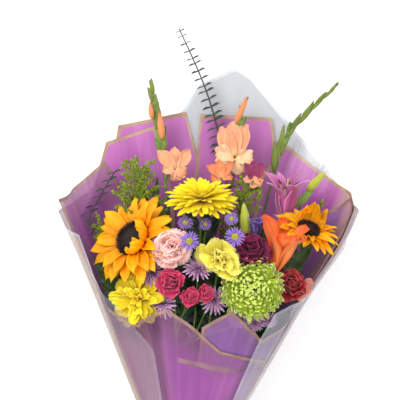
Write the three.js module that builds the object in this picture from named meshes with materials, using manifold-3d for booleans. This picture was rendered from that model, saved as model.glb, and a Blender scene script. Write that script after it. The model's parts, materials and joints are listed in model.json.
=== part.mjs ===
// Mixed flower bouquet in its film wrapper, tied once round the stems and lying on its back.
// Millimetres, +Z up. The blooms look up (+Z) and the stems run back (-Y) to the tie.
import * as THREE from "three";
import { mergeVertices } from "three/addons/utils/BufferGeometryUtils.js";
import Module from "manifold-3d";

const wasm = await Module();
wasm.setup();

// Driving dimensions. Places are measured from the tie: x across, y towards the blooms, z up.
const TIE_RADIUS = 20.9;
const TAIL_LENGTH = 85;
const STEM_END = -118;
const STEM_PITCH = 6.7;
const BUNDLE_RADIUS = 3.15;
const BUNDLE_SHIFT = 1.2;
const THICK_UP_TO = 160;
const WRAP_SPREAD = 0.445;
const WRAP_RISE = 0.22;
const WRAP_LEAN = 0.087;
const WRAP_SQUARENESS = 2.5;
const WRAP_LIFT = 2.2;
const WRAP_SINK = 0.022;
const FLAT_START = 240;
const FILM_THICKNESS = 0.8;
const FILM_LAYERS = 5;
const WRAP_FACET = 18;
const GAP = 0.35;
const PETAL_THICKNESS = 1.2;
const SIMPLE = 0.4;

// A seeded random number generator, so that every build is the same.
function seeded(seed) {
  let state = seed >>> 0;
  return () => {
    state = (state + 0x6d2b79f5) >>> 0;
    let mixed = Math.imul(state ^ (state >>> 15), 1 | state);
    mixed = (mixed + Math.imul(mixed ^ (mixed >>> 7), 61 | mixed)) ^ mixed;
    return ((mixed ^ (mixed >>> 14)) >>> 0) / 4294967296;
  };
}

const radians = THREE.MathUtils.degToRad;
const mix = THREE.MathUtils.lerp;
const vector = (list) => new THREE.Vector3(...list);

// Solids: one closed geometry, the union of several, and the largest body of a solid.
function solidOf(geometry) {
  const bare = geometry.index ? geometry.toNonIndexed() : geometry.clone();
  for (const name of Object.keys(bare.attributes)) {
    if (name !== "position") bare.deleteAttribute(name);
  }
  const merged = mergeVertices(bare, 1e-3);
  const corners = merged.index.array;
  const kept = [];
  for (let i = 0; i < corners.length; i += 3) {
    const [a, b, c] = corners.slice(i, i + 3);
    if (a !== b && b !== c && c !== a) kept.push(a, b, c);
  }
  const vertProperties = new Float32Array(merged.attributes.position.array);
  const build = (list) =>
    new wasm.Manifold(new wasm.Mesh({ numProp: 3, vertProperties, triVerts: new Uint32Array(list) }));
  const solid = build(kept);
  return solid.volume() < 0 ? build([...kept].reverse()) : solid;
}

function oneBody(solid) {
  const bodies = solid.decompose();
  return bodies.reduce((best, body) => (body.volume() > best.volume() ? body : best));
}

function fuse(solids) {
  return oneBody(wasm.Manifold.union(solids));
}

// A petal or leaf blade. pointAt(u, v) is its middle surface, u from root to tip and v across.
// Its two faces meet at the rim and are split into triangles alike.
function blade(pointAt, rows, columns, thickness = PETAL_THICKNESS) {
  const positions = [];
  const indices = [];
  const upper = [];
  const lower = [];
  const add = (point) => positions.push(point.x, point.y, point.z) / 3 - 1;
  const step = 0.02;
  for (let i = 0; i <= rows; i++) {
    for (let j = 0; j <= columns; j++) {
      const u = i / rows;
      const v = (2 * j) / columns - 1;
      const middle = pointAt(u, v);
      if (i === 0 || i === rows || j === 0 || j === columns) {
        const rim = add(middle);
        upper.push(rim);
        lower.push(rim);
        continue;
      }
      const along = pointAt(u + step, v).sub(pointAt(u - step, v));
      const across = pointAt(u, v + step).sub(pointAt(u, v - step));
      const normal = across.cross(along).normalize().multiplyScalar(thickness / 2);
      upper.push(add(middle.clone().add(normal)));
      lower.push(add(middle.clone().sub(normal)));
    }
  }
  for (let i = 0; i < rows; i++) {
    for (let j = 0; j < columns; j++) {
      const a = i * (columns + 1) + j;
      const b = a + 1;
      const c = a + columns + 1;
      const d = c + 1;
      const turned = j >= columns / 2;
      const faces = turned ? [a, b, d, a, d, c] : [a, b, c, b, d, c];
      indices.push(...faces.map((k) => upper[k]));
      indices.push(...faces.reverse().map((k) => lower[k]));
    }
  }
  const geometry = new THREE.BufferGeometry();
  geometry.setAttribute("position", new THREE.Float32BufferAttribute(positions, 3));
  geometry.setIndex(indices);
  return geometry;
}

// How wide a blade is along its length, as a share of its full width.
function breadth(u, widest, root, tip, fullness) {
  if (u < widest) return mix(root, 1, Math.sin((Math.PI / 2) * Math.max(u, 0) / widest));
  const past = Math.min((u - widest) / (1 - widest), 1);
  return mix(1, tip, Math.pow(past, fullness));
}

// One petal: it leaves the axis at radius start and height base, its slope goes from rise[0] to
// rise[1] degrees, its sides lift by cup, and its rim waves.
function petal(shape) {
  const { length, width, start = 4, base = 0, rise = [20, 0], cup = 0.1, wave = 0, waves = 3 } = shape;
  const { widest = 0.5, root = 0.4, tip = 0, fullness = 1.8, blunt = 0, rows = 3, columns = 2 } = shape;
  const { phase = 0, angle = 0, thickness = PETAL_THICKNESS } = shape;
  const first = radians(rise[0]);
  const turn = radians(rise[1]) - first || 1e-4;
  const pointAt = (u, v) => {
    const share = breadth(u, widest, root, tip, fullness);
    const along = u * (1 - blunt * v * v * u);
    const slope = first + turn * along;
    const lift = cup * width * (v * share) ** 2 + wave * u * u * Math.sin(waves * Math.PI * v + phase);
    const out = start + (length * (Math.sin(slope) - Math.sin(first))) / turn - lift * Math.sin(slope);
    const up = base - (length * (Math.cos(slope) - Math.cos(first))) / turn + lift * Math.cos(slope);
    return new THREE.Vector3((width / 2) * share * v, out, up);
  };
  return blade(pointAt, rows, columns, thickness).rotateZ(angle);
}

// One ring of petals cut from a single sheet, as far in as the notches between them. Each petal
// has a raised midrib and a sharp rim. rim lists [place across its share of the circle, reach].
function rosette(shape, random) {
  const { count, rim, notch, length, start, base, rise, ribs = [0.5], cup = 0, wave = 0 } = shape;
  const { offset = 0, jitter = 0.1, fold = 0, foldToward = 0, dome = 0 } = shape;
  const { thickness = PETAL_THICKNESS } = shape;
  const positions = [];
  const add = (x, y, z) => positions.push(x, y, z) / 3 - 1;
  const pointOn = (petalNumber, across, u, half, lifted) => {
    const { size = 1, tilt = 0, swing = 0 } = petalNumber.change;
    const angle = (2 * Math.PI * (petalNumber.index + offset + across + swing)) / count;
    const folded = fold * Math.max(0, Math.cos(angle - foldToward));
    const first = radians(rise[0] + tilt + folded);
    const turn = radians(rise[1] - rise[0] + folded * 0.5) || 1e-4;
    const slope = first + turn * u;
    const lift = cup * length * (2 * across) ** 2 * u + lifted + half;
    const run = (size * length * (Math.sin(slope) - Math.sin(first))) / turn;
    const climb = (-size * length * (Math.cos(slope) - Math.cos(first))) / turn;
    const radius = start + run - lift * Math.sin(slope);
    return add(radius * Math.cos(angle), radius * Math.sin(angle), base + climb + lift * Math.cos(slope));
  };
  const changes = Array.from({ length: count }, () => ({
    size: 1 + jitter * (random() - 0.5),
    tilt: 60 * jitter * (random() - 0.5),
    swing: 0.3 * jitter * (random() - 0.5),
  }));
  const faces = { upper: [], lower: [] };
  const centre = [dome + thickness / 2, -dome - thickness / 2].map((z) => add(0, 0, base + z));
  const hubs = [];
  const notches = [];
  for (let index = 0; index < count; index++) {
    const plain = { index, change: {} };
    hubs.push([1, -1].map((side) => pointOn(plain, -0.5, 0, (side * thickness) / 2, 0)));
    notches.push(pointOn(plain, -0.5, notch, 0, 0));
  }
  for (let index = 0; index < count; index++) {
    const next = (index + 1) % count;
    const one = { index, change: changes[index] };
    const edge = rim.map(([across, reach], place) => {
      const ruffle = wave * (place % 2 ? 1 : -1) * (0.5 + random());
      return pointOn(one, across, reach, 0, ruffle);
    });
    ["upper", "lower"].forEach((side, s) => {
      const half = ((s ? -1 : 1) * thickness) / 2;
      const [inner, outer] = ribs.map((u) => pointOn(one, 0, u, half, 0));
      const [left, right] = [hubs[index][s], hubs[next][s]];
      const list = faces[side];
      list.push(centre[s], left, right);
      const outline = [left, notches[index], ...edge, notches[next], right];
      const tip = outline.length / 2;
      const loop = outer === undefined ? outline
        : [...outline.slice(0, Math.floor(tip)), outer, ...outline.slice(Math.ceil(tip))];
      loop.forEach((corner, n) => list.push(inner, corner, loop[(n + 1) % loop.length]));
      if (outer !== undefined) {
        const peak = Math.floor(tip);
        list.push(outer, outline[peak - 1], outline[peak], outer, outline[peak], outline[peak + 1]);
      }
    });
  }
  const indices = [...faces.upper, ...faces.lower.reverse()];
  const geometry = new THREE.BufferGeometry();
  geometry.setAttribute("position", new THREE.Float32BufferAttribute(positions, 3));
  geometry.setIndex(indices);
  return solidOf(geometry);
}

// The same ring of petals for a bloom of another size.
function sized(shape, size) {
  return { ...shape, start: shape.start * size, base: shape.base * size, length: shape.length * size };
}

// The rims of one petal, from the notch on its left to the notch on its right.
const POINTED = { notch: 0.4, rim: [[-0.28, 0.74], [0, 1], [0.28, 0.74]] };
const SPIKED = { notch: 0.36, rim: [[0, 1]] };
const STRAP = { notch: 0.34, rim: [[-0.24, 0.96], [0.24, 0.96]] };
const RUFFLED = { notch: 0.66, rim: [[-0.3, 0.98], [0, 0.9], [0.3, 1]] };
const ROUNDED = { notch: 0.66, rim: [[-0.24, 0.98], [0.24, 0.98]] };
const TEPAL = { notch: 0.24, rim: [[-0.36, 0.6], [0, 1], [0.36, 0.6]], ribs: [0.4, 0.74] };

// A turned solid round the bloom's axis, from [radius, height] points.
function turned(outline, sides = 10) {
  const points = outline.map(([radius, height]) => new THREE.Vector2(radius, height));
  return new THREE.LatheGeometry(points, sides).rotateX(Math.PI / 2);
}

// A stem, branch or twig: a tapering round tube along a smooth curve, with rings at even steps or
// at a list of shares of its length.
function tube(points, radiusAt, sides, rings) {
  const curve = new THREE.CatmullRomCurve3(points, false, "centripetal");
  const shares = Array.isArray(rings) ? rings : Array.from({ length: rings + 1 }, (_, i) => i / rings);
  const steps = shares.length - 1;
  const positions = [];
  const indices = [];
  const add = (point) => positions.push(point.x, point.y, point.z) / 3 - 1;
  const arm = new THREE.Vector3(0.3, -0.2, 1);
  for (const share of shares) {
    const centre = curve.getPointAt(share);
    const heading = curve.getTangentAt(share);
    arm.addScaledVector(heading, -arm.dot(heading)).normalize();
    for (let j = 0; j < sides; j++) {
      const spoke = arm.clone().applyAxisAngle(heading, (2 * Math.PI * j) / sides);
      add(centre.clone().addScaledVector(spoke, radiusAt(share, centre)));
    }
  }
  const start = add(curve.getPointAt(0));
  const end = add(curve.getPointAt(1));
  for (let j = 0; j < sides; j++) {
    const next = (j + 1) % sides;
    for (let i = 0; i < steps; i++) {
      const a = i * sides;
      const b = a + sides;
      indices.push(a + j, b + j, a + next, b + j, b + next, a + next);
    }
    indices.push(start, j, next);
    indices.push(end, steps * sides + next, steps * sides + j);
  }
  const geometry = new THREE.BufferGeometry();
  geometry.setAttribute("position", new THREE.Float32BufferAttribute(positions, 3));
  geometry.setIndex(indices);
  return geometry;
}

// Turns a bloom from its own axes to its place: its axis along facing, its x near the world's x.
function pose(at, facing) {
  const up = vector(facing).normalize();
  const side = new THREE.Vector3(1, 0, 0).addScaledVector(up, -up.x).normalize();
  const matrix = new THREE.Matrix4().makeBasis(side, up.clone().cross(side), up);
  return matrix.setPosition(...at);
}

function placed(solid, at, facing) {
  return solid.transform(pose(at, facing).elements);
}

// The wrapper is a flattened cone that opens from the tie. Angles run 0 right, 90 front,
// 180 left and 270 back. outward is the distance outside the innermost film.
const filmStep = (y) => 1.35 + 0.003 * Math.max(y, 0);
const filmStack = (y) => FILM_LAYERS * filmStep(y) + FILM_THICKNESS / 2;

function wrapShape(y) {
  const open = y < 0 ? -0.3 * y : y;
  const halfWidth = TIE_RADIUS + WRAP_SPREAD * open;
  const halfDepth = TIE_RADIUS + WRAP_RISE * open;
  const centreZ = halfDepth + filmStack(y) + WRAP_LIFT - WRAP_SINK * Math.max(y, 0);
  return { centreX: WRAP_LEAN * Math.max(y, 0), centreZ, halfWidth, halfDepth };
}

function smoothWrapPoint(degrees, y, outward) {
  const { centreX, centreZ, halfWidth, halfDepth } = wrapShape(y);
  const power = 2 / WRAP_SQUARENESS;
  const cosine = Math.cos(radians(degrees));
  const sine = Math.sin(radians(degrees));
  const x = centreX + Math.sign(cosine) * (halfWidth + outward) * Math.abs(cosine) ** power;
  const z = centreZ + Math.sign(sine) * (halfDepth + outward) * Math.abs(sine) ** power;
  return new THREE.Vector3(x, y, Math.max(z, filmStack(y) - outward));
}

// The wrapper has flat facets, the same for every sheet, so that the sheets lie close together.
function wrapPoint(degrees, y, outward) {
  const first = WRAP_FACET * Math.floor(degrees / WRAP_FACET);
  const next = smoothWrapPoint(first + WRAP_FACET, y, outward);
  return smoothWrapPoint(first, y, outward).lerp(next, (degrees - first) / WRAP_FACET);
}

// The wrapper's angle at a place given as back, left or right half and x, y.
function wrapAngle(half, x, y) {
  const { centreX, halfWidth } = wrapShape(y);
  const share = THREE.MathUtils.clamp((x - centreX) / (halfWidth + filmStack(y) / 2), -1, 1);
  const cosine = Math.sign(share) * Math.abs(share) ** (WRAP_SQUARENESS / 2);
  const angle = THREE.MathUtils.radToDeg(Math.acos(cosine));
  return half === "left" ? angle : half === "back" ? 360 - angle : 360 + angle;
}

// The height of the innermost film under a place, for what lies along the back of the wrapper.
function filmHeight(x, y) {
  return wrapPoint(wrapAngle("back", x, y), y, 0).z;
}

// One film sheet: a thin shell from its tail, through the tie, up to a cut edge given by corners.
function filmSheet(layer, corners) {
  const rows = layer ? 2 : 3;
  const columns = [];
  corners.forEach(([half, x, y], index) => {
    const degrees = wrapAngle(half, x, y);
    if (index > 0) {
      const before = columns[columns.length - 1];
      const [low, high] = [before.degrees, degrees].sort((a, b) => a - b);
      const first = WRAP_FACET * (Math.floor(low / WRAP_FACET) + 1);
      for (let angle = first; angle < high; angle += WRAP_FACET) {
        const share = (angle - before.degrees) / (degrees - before.degrees);
        columns.push({ degrees: angle, top: mix(before.top, y, share) });
      }
    }
    columns.push({ degrees, top: y });
  });
  columns.sort((a, b) => a.degrees - b.degrees);
  const positions = [];
  const indices = [];
  const heightAt = (column, row) => {
    if (row === 0) return -TAIL_LENGTH + 2 * layer;
    if (row === rows) return column.top;
    return row === 1 ? 0 : Math.min(FLAT_START, 0.7 * column.top);
  };
  for (const side of [1, -1]) {
    for (const column of columns) {
      for (let row = 0; row <= rows; row++) {
        const y = heightAt(column, row);
        const outward = (FILM_LAYERS - layer) * filmStep(y) + (side * FILM_THICKNESS) / 2;
        const point = wrapPoint(column.degrees, y, outward);
        positions.push(point.x, point.y, point.z);
      }
    }
  }
  const line = rows + 1;
  const inner = columns.length * line;
  const quad = (a, b, c, d) => indices.push(a, b, c, a, c, d);
  for (let j = 0; j < columns.length - 1; j++) {
    for (let row = 0; row < rows; row++) {
      const a = j * line + row;
      quad(a, a + line, a + line + 1, a + 1);
      indices.push(inner + a, inner + a + line + 1, inner + a + line);
      indices.push(inner + a, inner + a + 1, inner + a + line + 1);
    }
    for (const row of [0, rows]) {
      const a = j * line + row;
      const b = a + line;
      if (row === 0) quad(a, inner + a, inner + b, b);
      else quad(a, b, inner + b, inner + a);
    }
  }
  for (let row = 0; row < rows; row++) {
    const last = (columns.length - 1) * line + row;
    quad(row, row + 1, inner + row + 1, inner + row);
    quad(last, inner + last, inner + last + 1, last + 1);
  }
  const geometry = new THREE.BufferGeometry();
  geometry.setAttribute("position", new THREE.Float32BufferAttribute(positions, 3));
  geometry.setIndex(indices);
  return solidOf(geometry);
}

// Finishes, one for each kind of surface.
const finish = (color, roughness, opacity = 1) =>
  new THREE.MeshStandardMaterial({ color, roughness, metalness: 0, opacity, transparent: opacity < 1 });
const FINISHES = {
  cellophane: finish(0xe8ecf2, 0.15, 0.4),
  purpleFilm: finish(0xa855b0, 0.35, 0.8),
  tie: finish(0x8a4f96, 0.5),
  stem: finish(0x6f8f3a, 0.6),
  leaf: finish(0x2f4a2a, 0.6),
  sunflower: finish(0xf7a400, 0.6),
  seeds: finish(0x1c1210, 0.9),
  yellow: finish(0xfadc00, 0.6),
  paleYellow: finish(0xf0e568, 0.6),
  pink: finish(0xf6c3bd, 0.6),
  burgundy: finish(0x8a1050, 0.6),
  green: finish(0xb4c832, 0.6),
  hotPink: finish(0xc93a66, 0.6),
  red: finish(0xa82a34, 0.5),
  lilyPink: finish(0xb0508a, 0.5),
  lilyOrange: finish(0xf07a2c, 0.5),
  peach: finish(0xf5a878, 0.6),
  aster: finish(0x8468c8, 0.6),
  mauve: finish(0xa87ba0, 0.6),
  statice: finish(0x5a4496, 0.6),
  goldenrod: finish(0x9aa832, 0.8),
  eucalyptus: finish(0x55665a, 0.7),
  lime: finish(0xb0c84a, 0.7),
};

// Heads of the flowers: centre, facing, radius of the bloom's middle plate, its half thickness,
// and the depth from the centre back to the top of the stem.
const HEADS = {
  sunflower_left: { at: [-78, 379, 140], face: [-0.42, 0.22, 0.88], plate: 62, half: 13, depth: 22 },
  sunflower_right: { at: [183, 389, 124], face: [0.3, 0.42, 0.86], plate: 40, half: 12, depth: 22 },
  gerbera: { at: [26, 439, 138], face: [0.02, 0.88, 0.47], plate: 46, half: 10, depth: 9 },
  pink_carnation: { at: [-18, 369, 176], face: [0, 0.15, 0.98], plate: 13, half: 18, depth: 26 },
  pale_yellow_carnation: { at: [53, 351, 182], face: [0.05, 0.1, 0.99], plate: 14, half: 18, depth: 26 },
  burgundy_carnation: { at: [97, 366, 168], face: [0.05, 0.35, 0.93], plate: 12, half: 16, depth: 26 },
  green_mum: { at: [97, 303, 172], face: [0.08, 0, 0.99], plate: 14, half: 28, depth: 30 },
  yellow_carnation: { at: [-68, 292, 138], face: [-0.25, 0.2, 0.94], plate: 16, half: 18, depth: 26 },
  spray_rose_a: { at: [-19, 318, 180], face: [-0.1, 0.1, 0.99], plate: 6, half: 14, depth: 16 },
  spray_rose_b: { at: [9, 297, 180], face: [0.1, 0.1, 0.99], plate: 4, half: 11, depth: 11.2 },
  spray_rose_c: { at: [32, 310, 176], face: [0.2, 0.1, 0.97], plate: 3, half: 10, depth: 10 },
  red_rose: { at: [157, 312, 140], face: [0.2, 0.25, 0.94], plate: 8, half: 17, depth: 19 },
  aster_a: { at: [72, 383, 200], face: [0.1, 0.2, 0.97], plate: 13, half: 3, depth: 4 },
  aster_b: { at: [17, 378, 203], face: [-0.05, 0.1, 0.99], plate: 13, half: 3, depth: 4 },
  aster_c: { at: [2, 402, 160], face: [0, 0.5, 0.86], plate: 11, half: 3, depth: 4 },
  aster_d: { at: [68, 408, 170], face: [0, 0.4, 0.9], plate: 10, half: 3, depth: 4 },
  aster_e: { at: [31, 400, 150], face: [0, 0.3, 0.95], plate: 9, half: 3, depth: 4 },
  mauve_a: { at: [-46, 330, 150], face: [-0.4, 0.3, 0.86], plate: 16, half: 5, depth: 5 },
  mauve_b: { at: [20, 336, 158], face: [0, 0.5, 0.86], plate: 15, half: 5, depth: 5 },
  mauve_c: { at: [44, 290, 150], face: [0.2, -0.2, 0.96], plate: 14, half: 5, depth: 5 },
  mauve_d: { at: [-32, 284, 150], face: [-0.2, -0.2, 0.96], plate: 14, half: 5, depth: 5 },
  lime_bloom: { at: [-92, 334, 112], face: [-0.3, 0.2, 0.93], plate: 8, half: 12, depth: 14 },
  bell_flower: { at: [112, 412, 150], face: [0.05, 0.75, 0.66], plate: 4, half: 12, depth: 18 },
  pink_lily: { at: [149, 404, 96], face: [0.06, 0.93, 0.36], plate: 8, half: 8, depth: 10 },
  orange_lily: { at: [134, 330, 140], face: [0.1, 0.92, 0.38], plate: 8, half: 10, depth: 10 },
};

const LONG_BLOOM = { pink_lily: 62, orange_lily: 60 };

// Routes of the stems. Each bloom's stem starts in a slot of the bundle at the tie, and is pushed
// clear of the other stems, the blooms and the film, level by level.
const LEVEL_STEP = 30;
const STEMS = {
  sunflower_left: { radius: 3.1 },
  sunflower_right: { radius: 3.1 },
  gerbera: { radius: 2.4 },
  pink_carnation: { radius: 2 },
  pale_yellow_carnation: { radius: 2 },
  burgundy_carnation: { radius: 2 },
  green_mum: { radius: 2.8 },
  yellow_carnation: { radius: 2 },
  spray_rose_a: { radius: 2.2 },
  red_rose: { radius: 2.8 },
  aster_e: { radius: 2 },
  mauve_b: { radius: 2 },
  lime_bloom: { radius: 1.8 },
  bell_flower: { radius: 1.8 },
  pink_lily: { radius: 3 },
  orange_lily: { radius: 3 },
};

// Sprays that lie along the back of the wrapper: x, y and height above the film.
const SPRAYS = {
  gladiolus_left: {
    radius: 3,
    route: [[-22, 380, 46], [-30, 455, 44], [-38, 535, 30], [-56, 622, 34]],
  },
  gladiolus_centre: {
    radius: 3,
    route: [[56, 400, 40], [72, 455, 40], [82, 535, 28], [94, 595, 30]],
  },
  gladiolus_right: {
    radius: 3,
    route: [[118, 400, 24], [142, 489, 18], [154, 528, 20], [178, 559, 26], [208, 589, 34], [236, 613, 42]],
  },
  eucalyptus_top: {
    radius: 1.7,
    route: [[50, 400, 9], [58, 500, 9], [42, 576, 12], [23, 630, 18], [-11, 704, 28]],
  },
  eucalyptus_left: {
    radius: 1.5,
    route: [[-100, 300, 12], [-146, 390, 14], [-134, 435, 14], [-108, 482, 14]],
  },
  goldenrod_left: { radius: 1.8, route: [[-50, 360, 50], [-66, 420, 62], [-72, 480, 60]] },
  goldenrod_far_left: { radius: 1.6, route: [[-84, 280, 34], [-112, 340, 34], [-128, 392, 32]] },
  goldenrod_centre: { radius: 1.8, route: [[60, 370, 62], [88, 430, 72], [98, 470, 70]] },
  goldenrod_right: { radius: 1.6, route: [[140, 300, 40], [186, 370, 38], [208, 425, 32]] },
};

SPRAYS.leaf_spray_left = { radius: 2, route: [[-52, 296, 84], [-62, 330, 90]] };
SPRAYS.leaf_spray_right = { radius: 2, route: [[128, 290, 84], [146, 338, 92]] };

function sprayPoints(route) {
  return route.map(([x, y, above]) => new THREE.Vector3(x, y, filmHeight(x, y) + above));
}

// Stems are thickest at the tie and thin out above it.
const stemRadius = (radius, y) => mix(BUNDLE_RADIUS, radius, THREE.MathUtils.clamp(y / THICK_UP_TO, 0, 1));

function hexSlots(count) {
  const slots = [];
  for (let a = -4; a <= 4; a++) {
    for (let b = -4; b <= 4; b++) {
      slots.push({ x: (a + b / 2) * STEM_PITCH, z: (b * Math.sqrt(3) * STEM_PITCH) / 2 });
    }
  }
  const ring = (slot) => Math.round(Math.hypot(slot.x, slot.z));
  const turn = (slot) => (Math.round(THREE.MathUtils.radToDeg(Math.atan2(slot.z, slot.x))) + 371) % 60;
  slots.sort((p, q) => ring(p) - ring(q) || turn(p) - turn(q) || p.x - q.x || p.z - q.z);
  return slots.slice(0, count);
}

function stemStart(name) {
  const head = HEADS[name];
  const back = vector(head.face).normalize();
  const base = vector(head.at).addScaledVector(back, -head.depth - GAP);
  return { base, neck: base.clone().addScaledVector(back, -16) };
}

function planRoutes() {
  const lanes = [];
  for (const [name, { radius }] of Object.entries(STEMS)) {
    const { base, neck } = stemStart(name);
    lanes.push({ name, radius, neck, ends: [neck, base] });
  }
  for (const [name, { radius, route }] of Object.entries(SPRAYS)) {
    const points = sprayPoints(route);
    lanes.push({ name, radius, neck: points[0], ends: points });
  }
  const shareOf = (lane) => {
    const { centreX, centreZ, halfWidth, halfDepth } = wrapShape(lane.neck.y);
    return { x: (lane.neck.x - centreX) / halfWidth, z: (lane.neck.z - centreZ) / halfDepth };
  };
  const slots = hexSlots(lanes.length);
  const ordered = [...lanes].sort((p, q) => {
    const [a, b] = [shareOf(p), shareOf(q)];
    return Math.hypot(b.x, b.z) - Math.hypot(a.x, a.z);
  });
  for (const lane of ordered) {
    const wanted = shareOf(lane);
    const distance = (slot) => Math.hypot(slot.x - wanted.x * TIE_RADIUS, slot.z - wanted.z * TIE_RADIUS);
    slots.sort((p, q) => distance(p) - distance(q));
    lane.slot = slots.shift();
    const tie = wrapShape(0);
    lane.foot = new THREE.Vector3(tie.centreX + lane.slot.x + BUNDLE_SHIFT, 0, tie.centreZ + lane.slot.z);
    lane.levels = [];
    for (let y = LEVEL_STEP; y < lane.neck.y - LEVEL_STEP / 2; y += LEVEL_STEP) {
      lane.levels.push(lane.foot.clone().lerp(lane.neck, y / lane.neck.y));
    }
  }
  return lanes;
}

const PLATES = Object.entries(HEADS).map(([name, head]) => ({
  name,
  centre: vector(head.at),
  facing: vector(head.face).normalize(),
  plate: head.plate,
  half: head.half,
  long: LONG_BLOOM[name] || 0,
}));

// The necks of the stems and the far ends of the sprays, as rods that other stems keep clear of.
const rod = (name, from, to, half) => {
  const facing = to.clone().sub(from);
  return { name, centre: from, facing: facing.clone().normalize(), plate: 0, half, long: facing.length() };
};
const RODS = [];
for (const [name, { radius }] of Object.entries(STEMS)) {
  const { neck, base } = stemStart(name);
  RODS.push(rod(name, neck, base, radius + 1.5));
}
for (const [name, { radius, route }] of Object.entries(SPRAYS)) {
  const points = sprayPoints(route);
  for (let i = 1; i < points.length; i++) RODS.push(rod(name, points[i - 1], points[i], radius + 2));
}

// The nearest point of a bloom's middle plate, or of a lily's long trumpet.
function nearestOnPlate(point, plate) {
  const offset = point.clone().sub(plate.centre);
  const height = offset.dot(plate.facing);
  const flat = offset.addScaledVector(plate.facing, -height);
  if (flat.length() > plate.plate) flat.setLength(plate.plate);
  const along = THREE.MathUtils.clamp(height, 0, plate.long);
  return plate.centre.clone().add(flat).addScaledVector(plate.facing, along);
}

function relax(lanes, rounds = 260) {
  const away = new THREE.Vector3();
  for (let round = 0; round < rounds; round++) {
    for (const lane of lanes) {
      lane.levels.forEach((point, index) => {
        const before = index ? lane.levels[index - 1] : lane.foot;
        const after = lane.levels[index + 1] || lane.neck;
        const share = (point.y - before.y) / (after.y - before.y);
        point.x += 0.35 * (mix(before.x, after.x, share) - point.x);
        point.z += 0.35 * (mix(before.z, after.z, share) - point.z);
      });
    }
    for (const lane of lanes) {
      for (const point of lane.levels) {
        for (const plate of [...PLATES, ...RODS]) {
          if (plate.name === lane.name) continue;
          const nearest = nearestOnPlate(point, plate);
          const room = plate.half + lane.radius + 2;
          if (point.distanceTo(nearest) < room) {
            away.copy(plate.facing).negate().setY(0);
            if (away.length() < 0.6) away.copy(point).sub(nearest).setY(0);
            if (away.length() < 0.01) away.set(0, 0, -1);
            point.addScaledVector(away.normalize(), 0.6);
          }
        }
        const { centreX, centreZ, halfWidth, halfDepth } = wrapShape(point.y);
        const room = stemRadius(lane.radius, point.y) + 2;
        const x = (point.x - centreX) / (halfWidth - room);
        const z = (point.z - centreZ) / (halfDepth - room);
        const power = WRAP_SQUARENESS;
        const reach = (Math.abs(x) ** power + Math.abs(z) ** power) ** (1 / power);
        if (reach > 1) {
          point.x = centreX + (point.x - centreX) / reach;
          point.z = centreZ + (point.z - centreZ) / reach;
        }
      }
    }
    for (let i = 0; i < lanes.length; i++) {
      for (let j = i + 1; j < lanes.length; j++) {
        const shared = Math.min(lanes[i].levels.length, lanes[j].levels.length);
        for (let k = 0; k < shared; k++) {
          const p = lanes[i].levels[k];
          const q = lanes[j].levels[k];
          away.copy(p).sub(q).setY(0);
          const distance = away.length();
          const radii = [lanes[i], lanes[j]].map((lane) => stemRadius(lane.radius, p.y));
          const room = radii[0] + radii[1] + 1.4;
          if (distance < room) {
            away.multiplyScalar((0.5 * (room - distance)) / Math.max(distance, 0.01));
            p.add(away);
            q.sub(away);
          }
        }
      }
    }
  }
  return lanes;
}

const LANES = {};
for (const lane of relax(planRoutes())) {
  const tieCentre = wrapShape(0);
  const low = new THREE.Vector3(
    tieCentre.centreX + lane.slot.x * 1.25 + BUNDLE_SHIFT,
    STEM_END + 9 * Math.sin(lane.slot.x * 3 + lane.slot.z),
    tieCentre.centreZ + lane.slot.z * 1.15,
  );
  LANES[lane.name] = { radius: lane.radius, points: [low, lane.foot, ...lane.levels, ...lane.ends] };
}

function stemTube(name, options = {}) {
  const { tip = 1, sides = 5, steps = 9 } = options;
  const { radius, points } = LANES[name];
  const full = sides < 5 ? 1.09 : 1;
  const thin = (t) => full * mix(1, tip, Math.max(0, (t - 0.6) / 0.4));
  const length = new THREE.CatmullRomCurve3(points, false, "centripetal").getLength();
  const tie = points[0].distanceTo(points[1]) / length;
  const rings = Array.from({ length: steps }, (_, i) => mix(tie, 1, i / (steps - 1)));
  return solidOf(tube(points, (t, point) => stemRadius(radius, point.y) * thin(t), sides, [0, ...rings]));
}

// A point and direction a share of the way along a stem.
function alongStem(name, share) {
  const curve = new THREE.CatmullRomCurve3(LANES[name].points, false, "centripetal");
  return { point: curve.getPointAt(share), heading: curve.getTangentAt(share) };
}

// The nodes, in the order in which they keep their place: a later one is cut clear of an earlier one.
const nodes = [];

function grown(solid, box, reach) {
  const size = new THREE.Vector3(...box.max).sub(new THREE.Vector3(...box.min)).addScalar(4 * reach);
  const centre = new THREE.Vector3(...box.max).add(new THREE.Vector3(...box.min)).multiplyScalar(0.5);
  const window = new THREE.BoxGeometry(size.x, size.y, size.z).translate(centre.x, centre.y, centre.z);
  const near = solid.intersect(solidOf(window));
  return near.isEmpty() ? near : near.minkowskiSum(solidOf(new THREE.OctahedronGeometry(reach * 1.5)));
}

function sharedBox(first, second, reach) {
  const [a, b] = [first.boundingBox(), second.boundingBox()];
  const box = { min: [], max: [] };
  for (let axis = 0; axis < 3; axis++) {
    box.min.push(Math.max(a.min[axis], b.min[axis]) - reach);
    box.max.push(Math.min(a.max[axis], b.max[axis]) + reach);
  }
  return box.min.every((value, axis) => value < box.max[axis]) ? box : null;
}

function cutClear(solid, cuts) {
  let result = solid;
  for (const node of nodes) {
    const box = sharedBox(result, node.solid, GAP);
    if (!box || result.minGap(node.solid, GAP) >= GAP * 0.8) continue;
    const before = result.volume();
    const touching = grown(node.solid, box, GAP);
    if (touching.isEmpty()) continue;
    result = oneBody(result.subtract(touching));
    cuts.push(`${node.name} ${(before - result.volume()).toFixed(0)}`);
  }
  return result;
}

function place(name, solid, material, tolerance = SIMPLE) {
  const cuts = [];
  const clear = oneBody(cutClear(solid, cuts).simplify(tolerance));
  nodes.push({ name, solid: clear, material, cuts });
}

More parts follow.
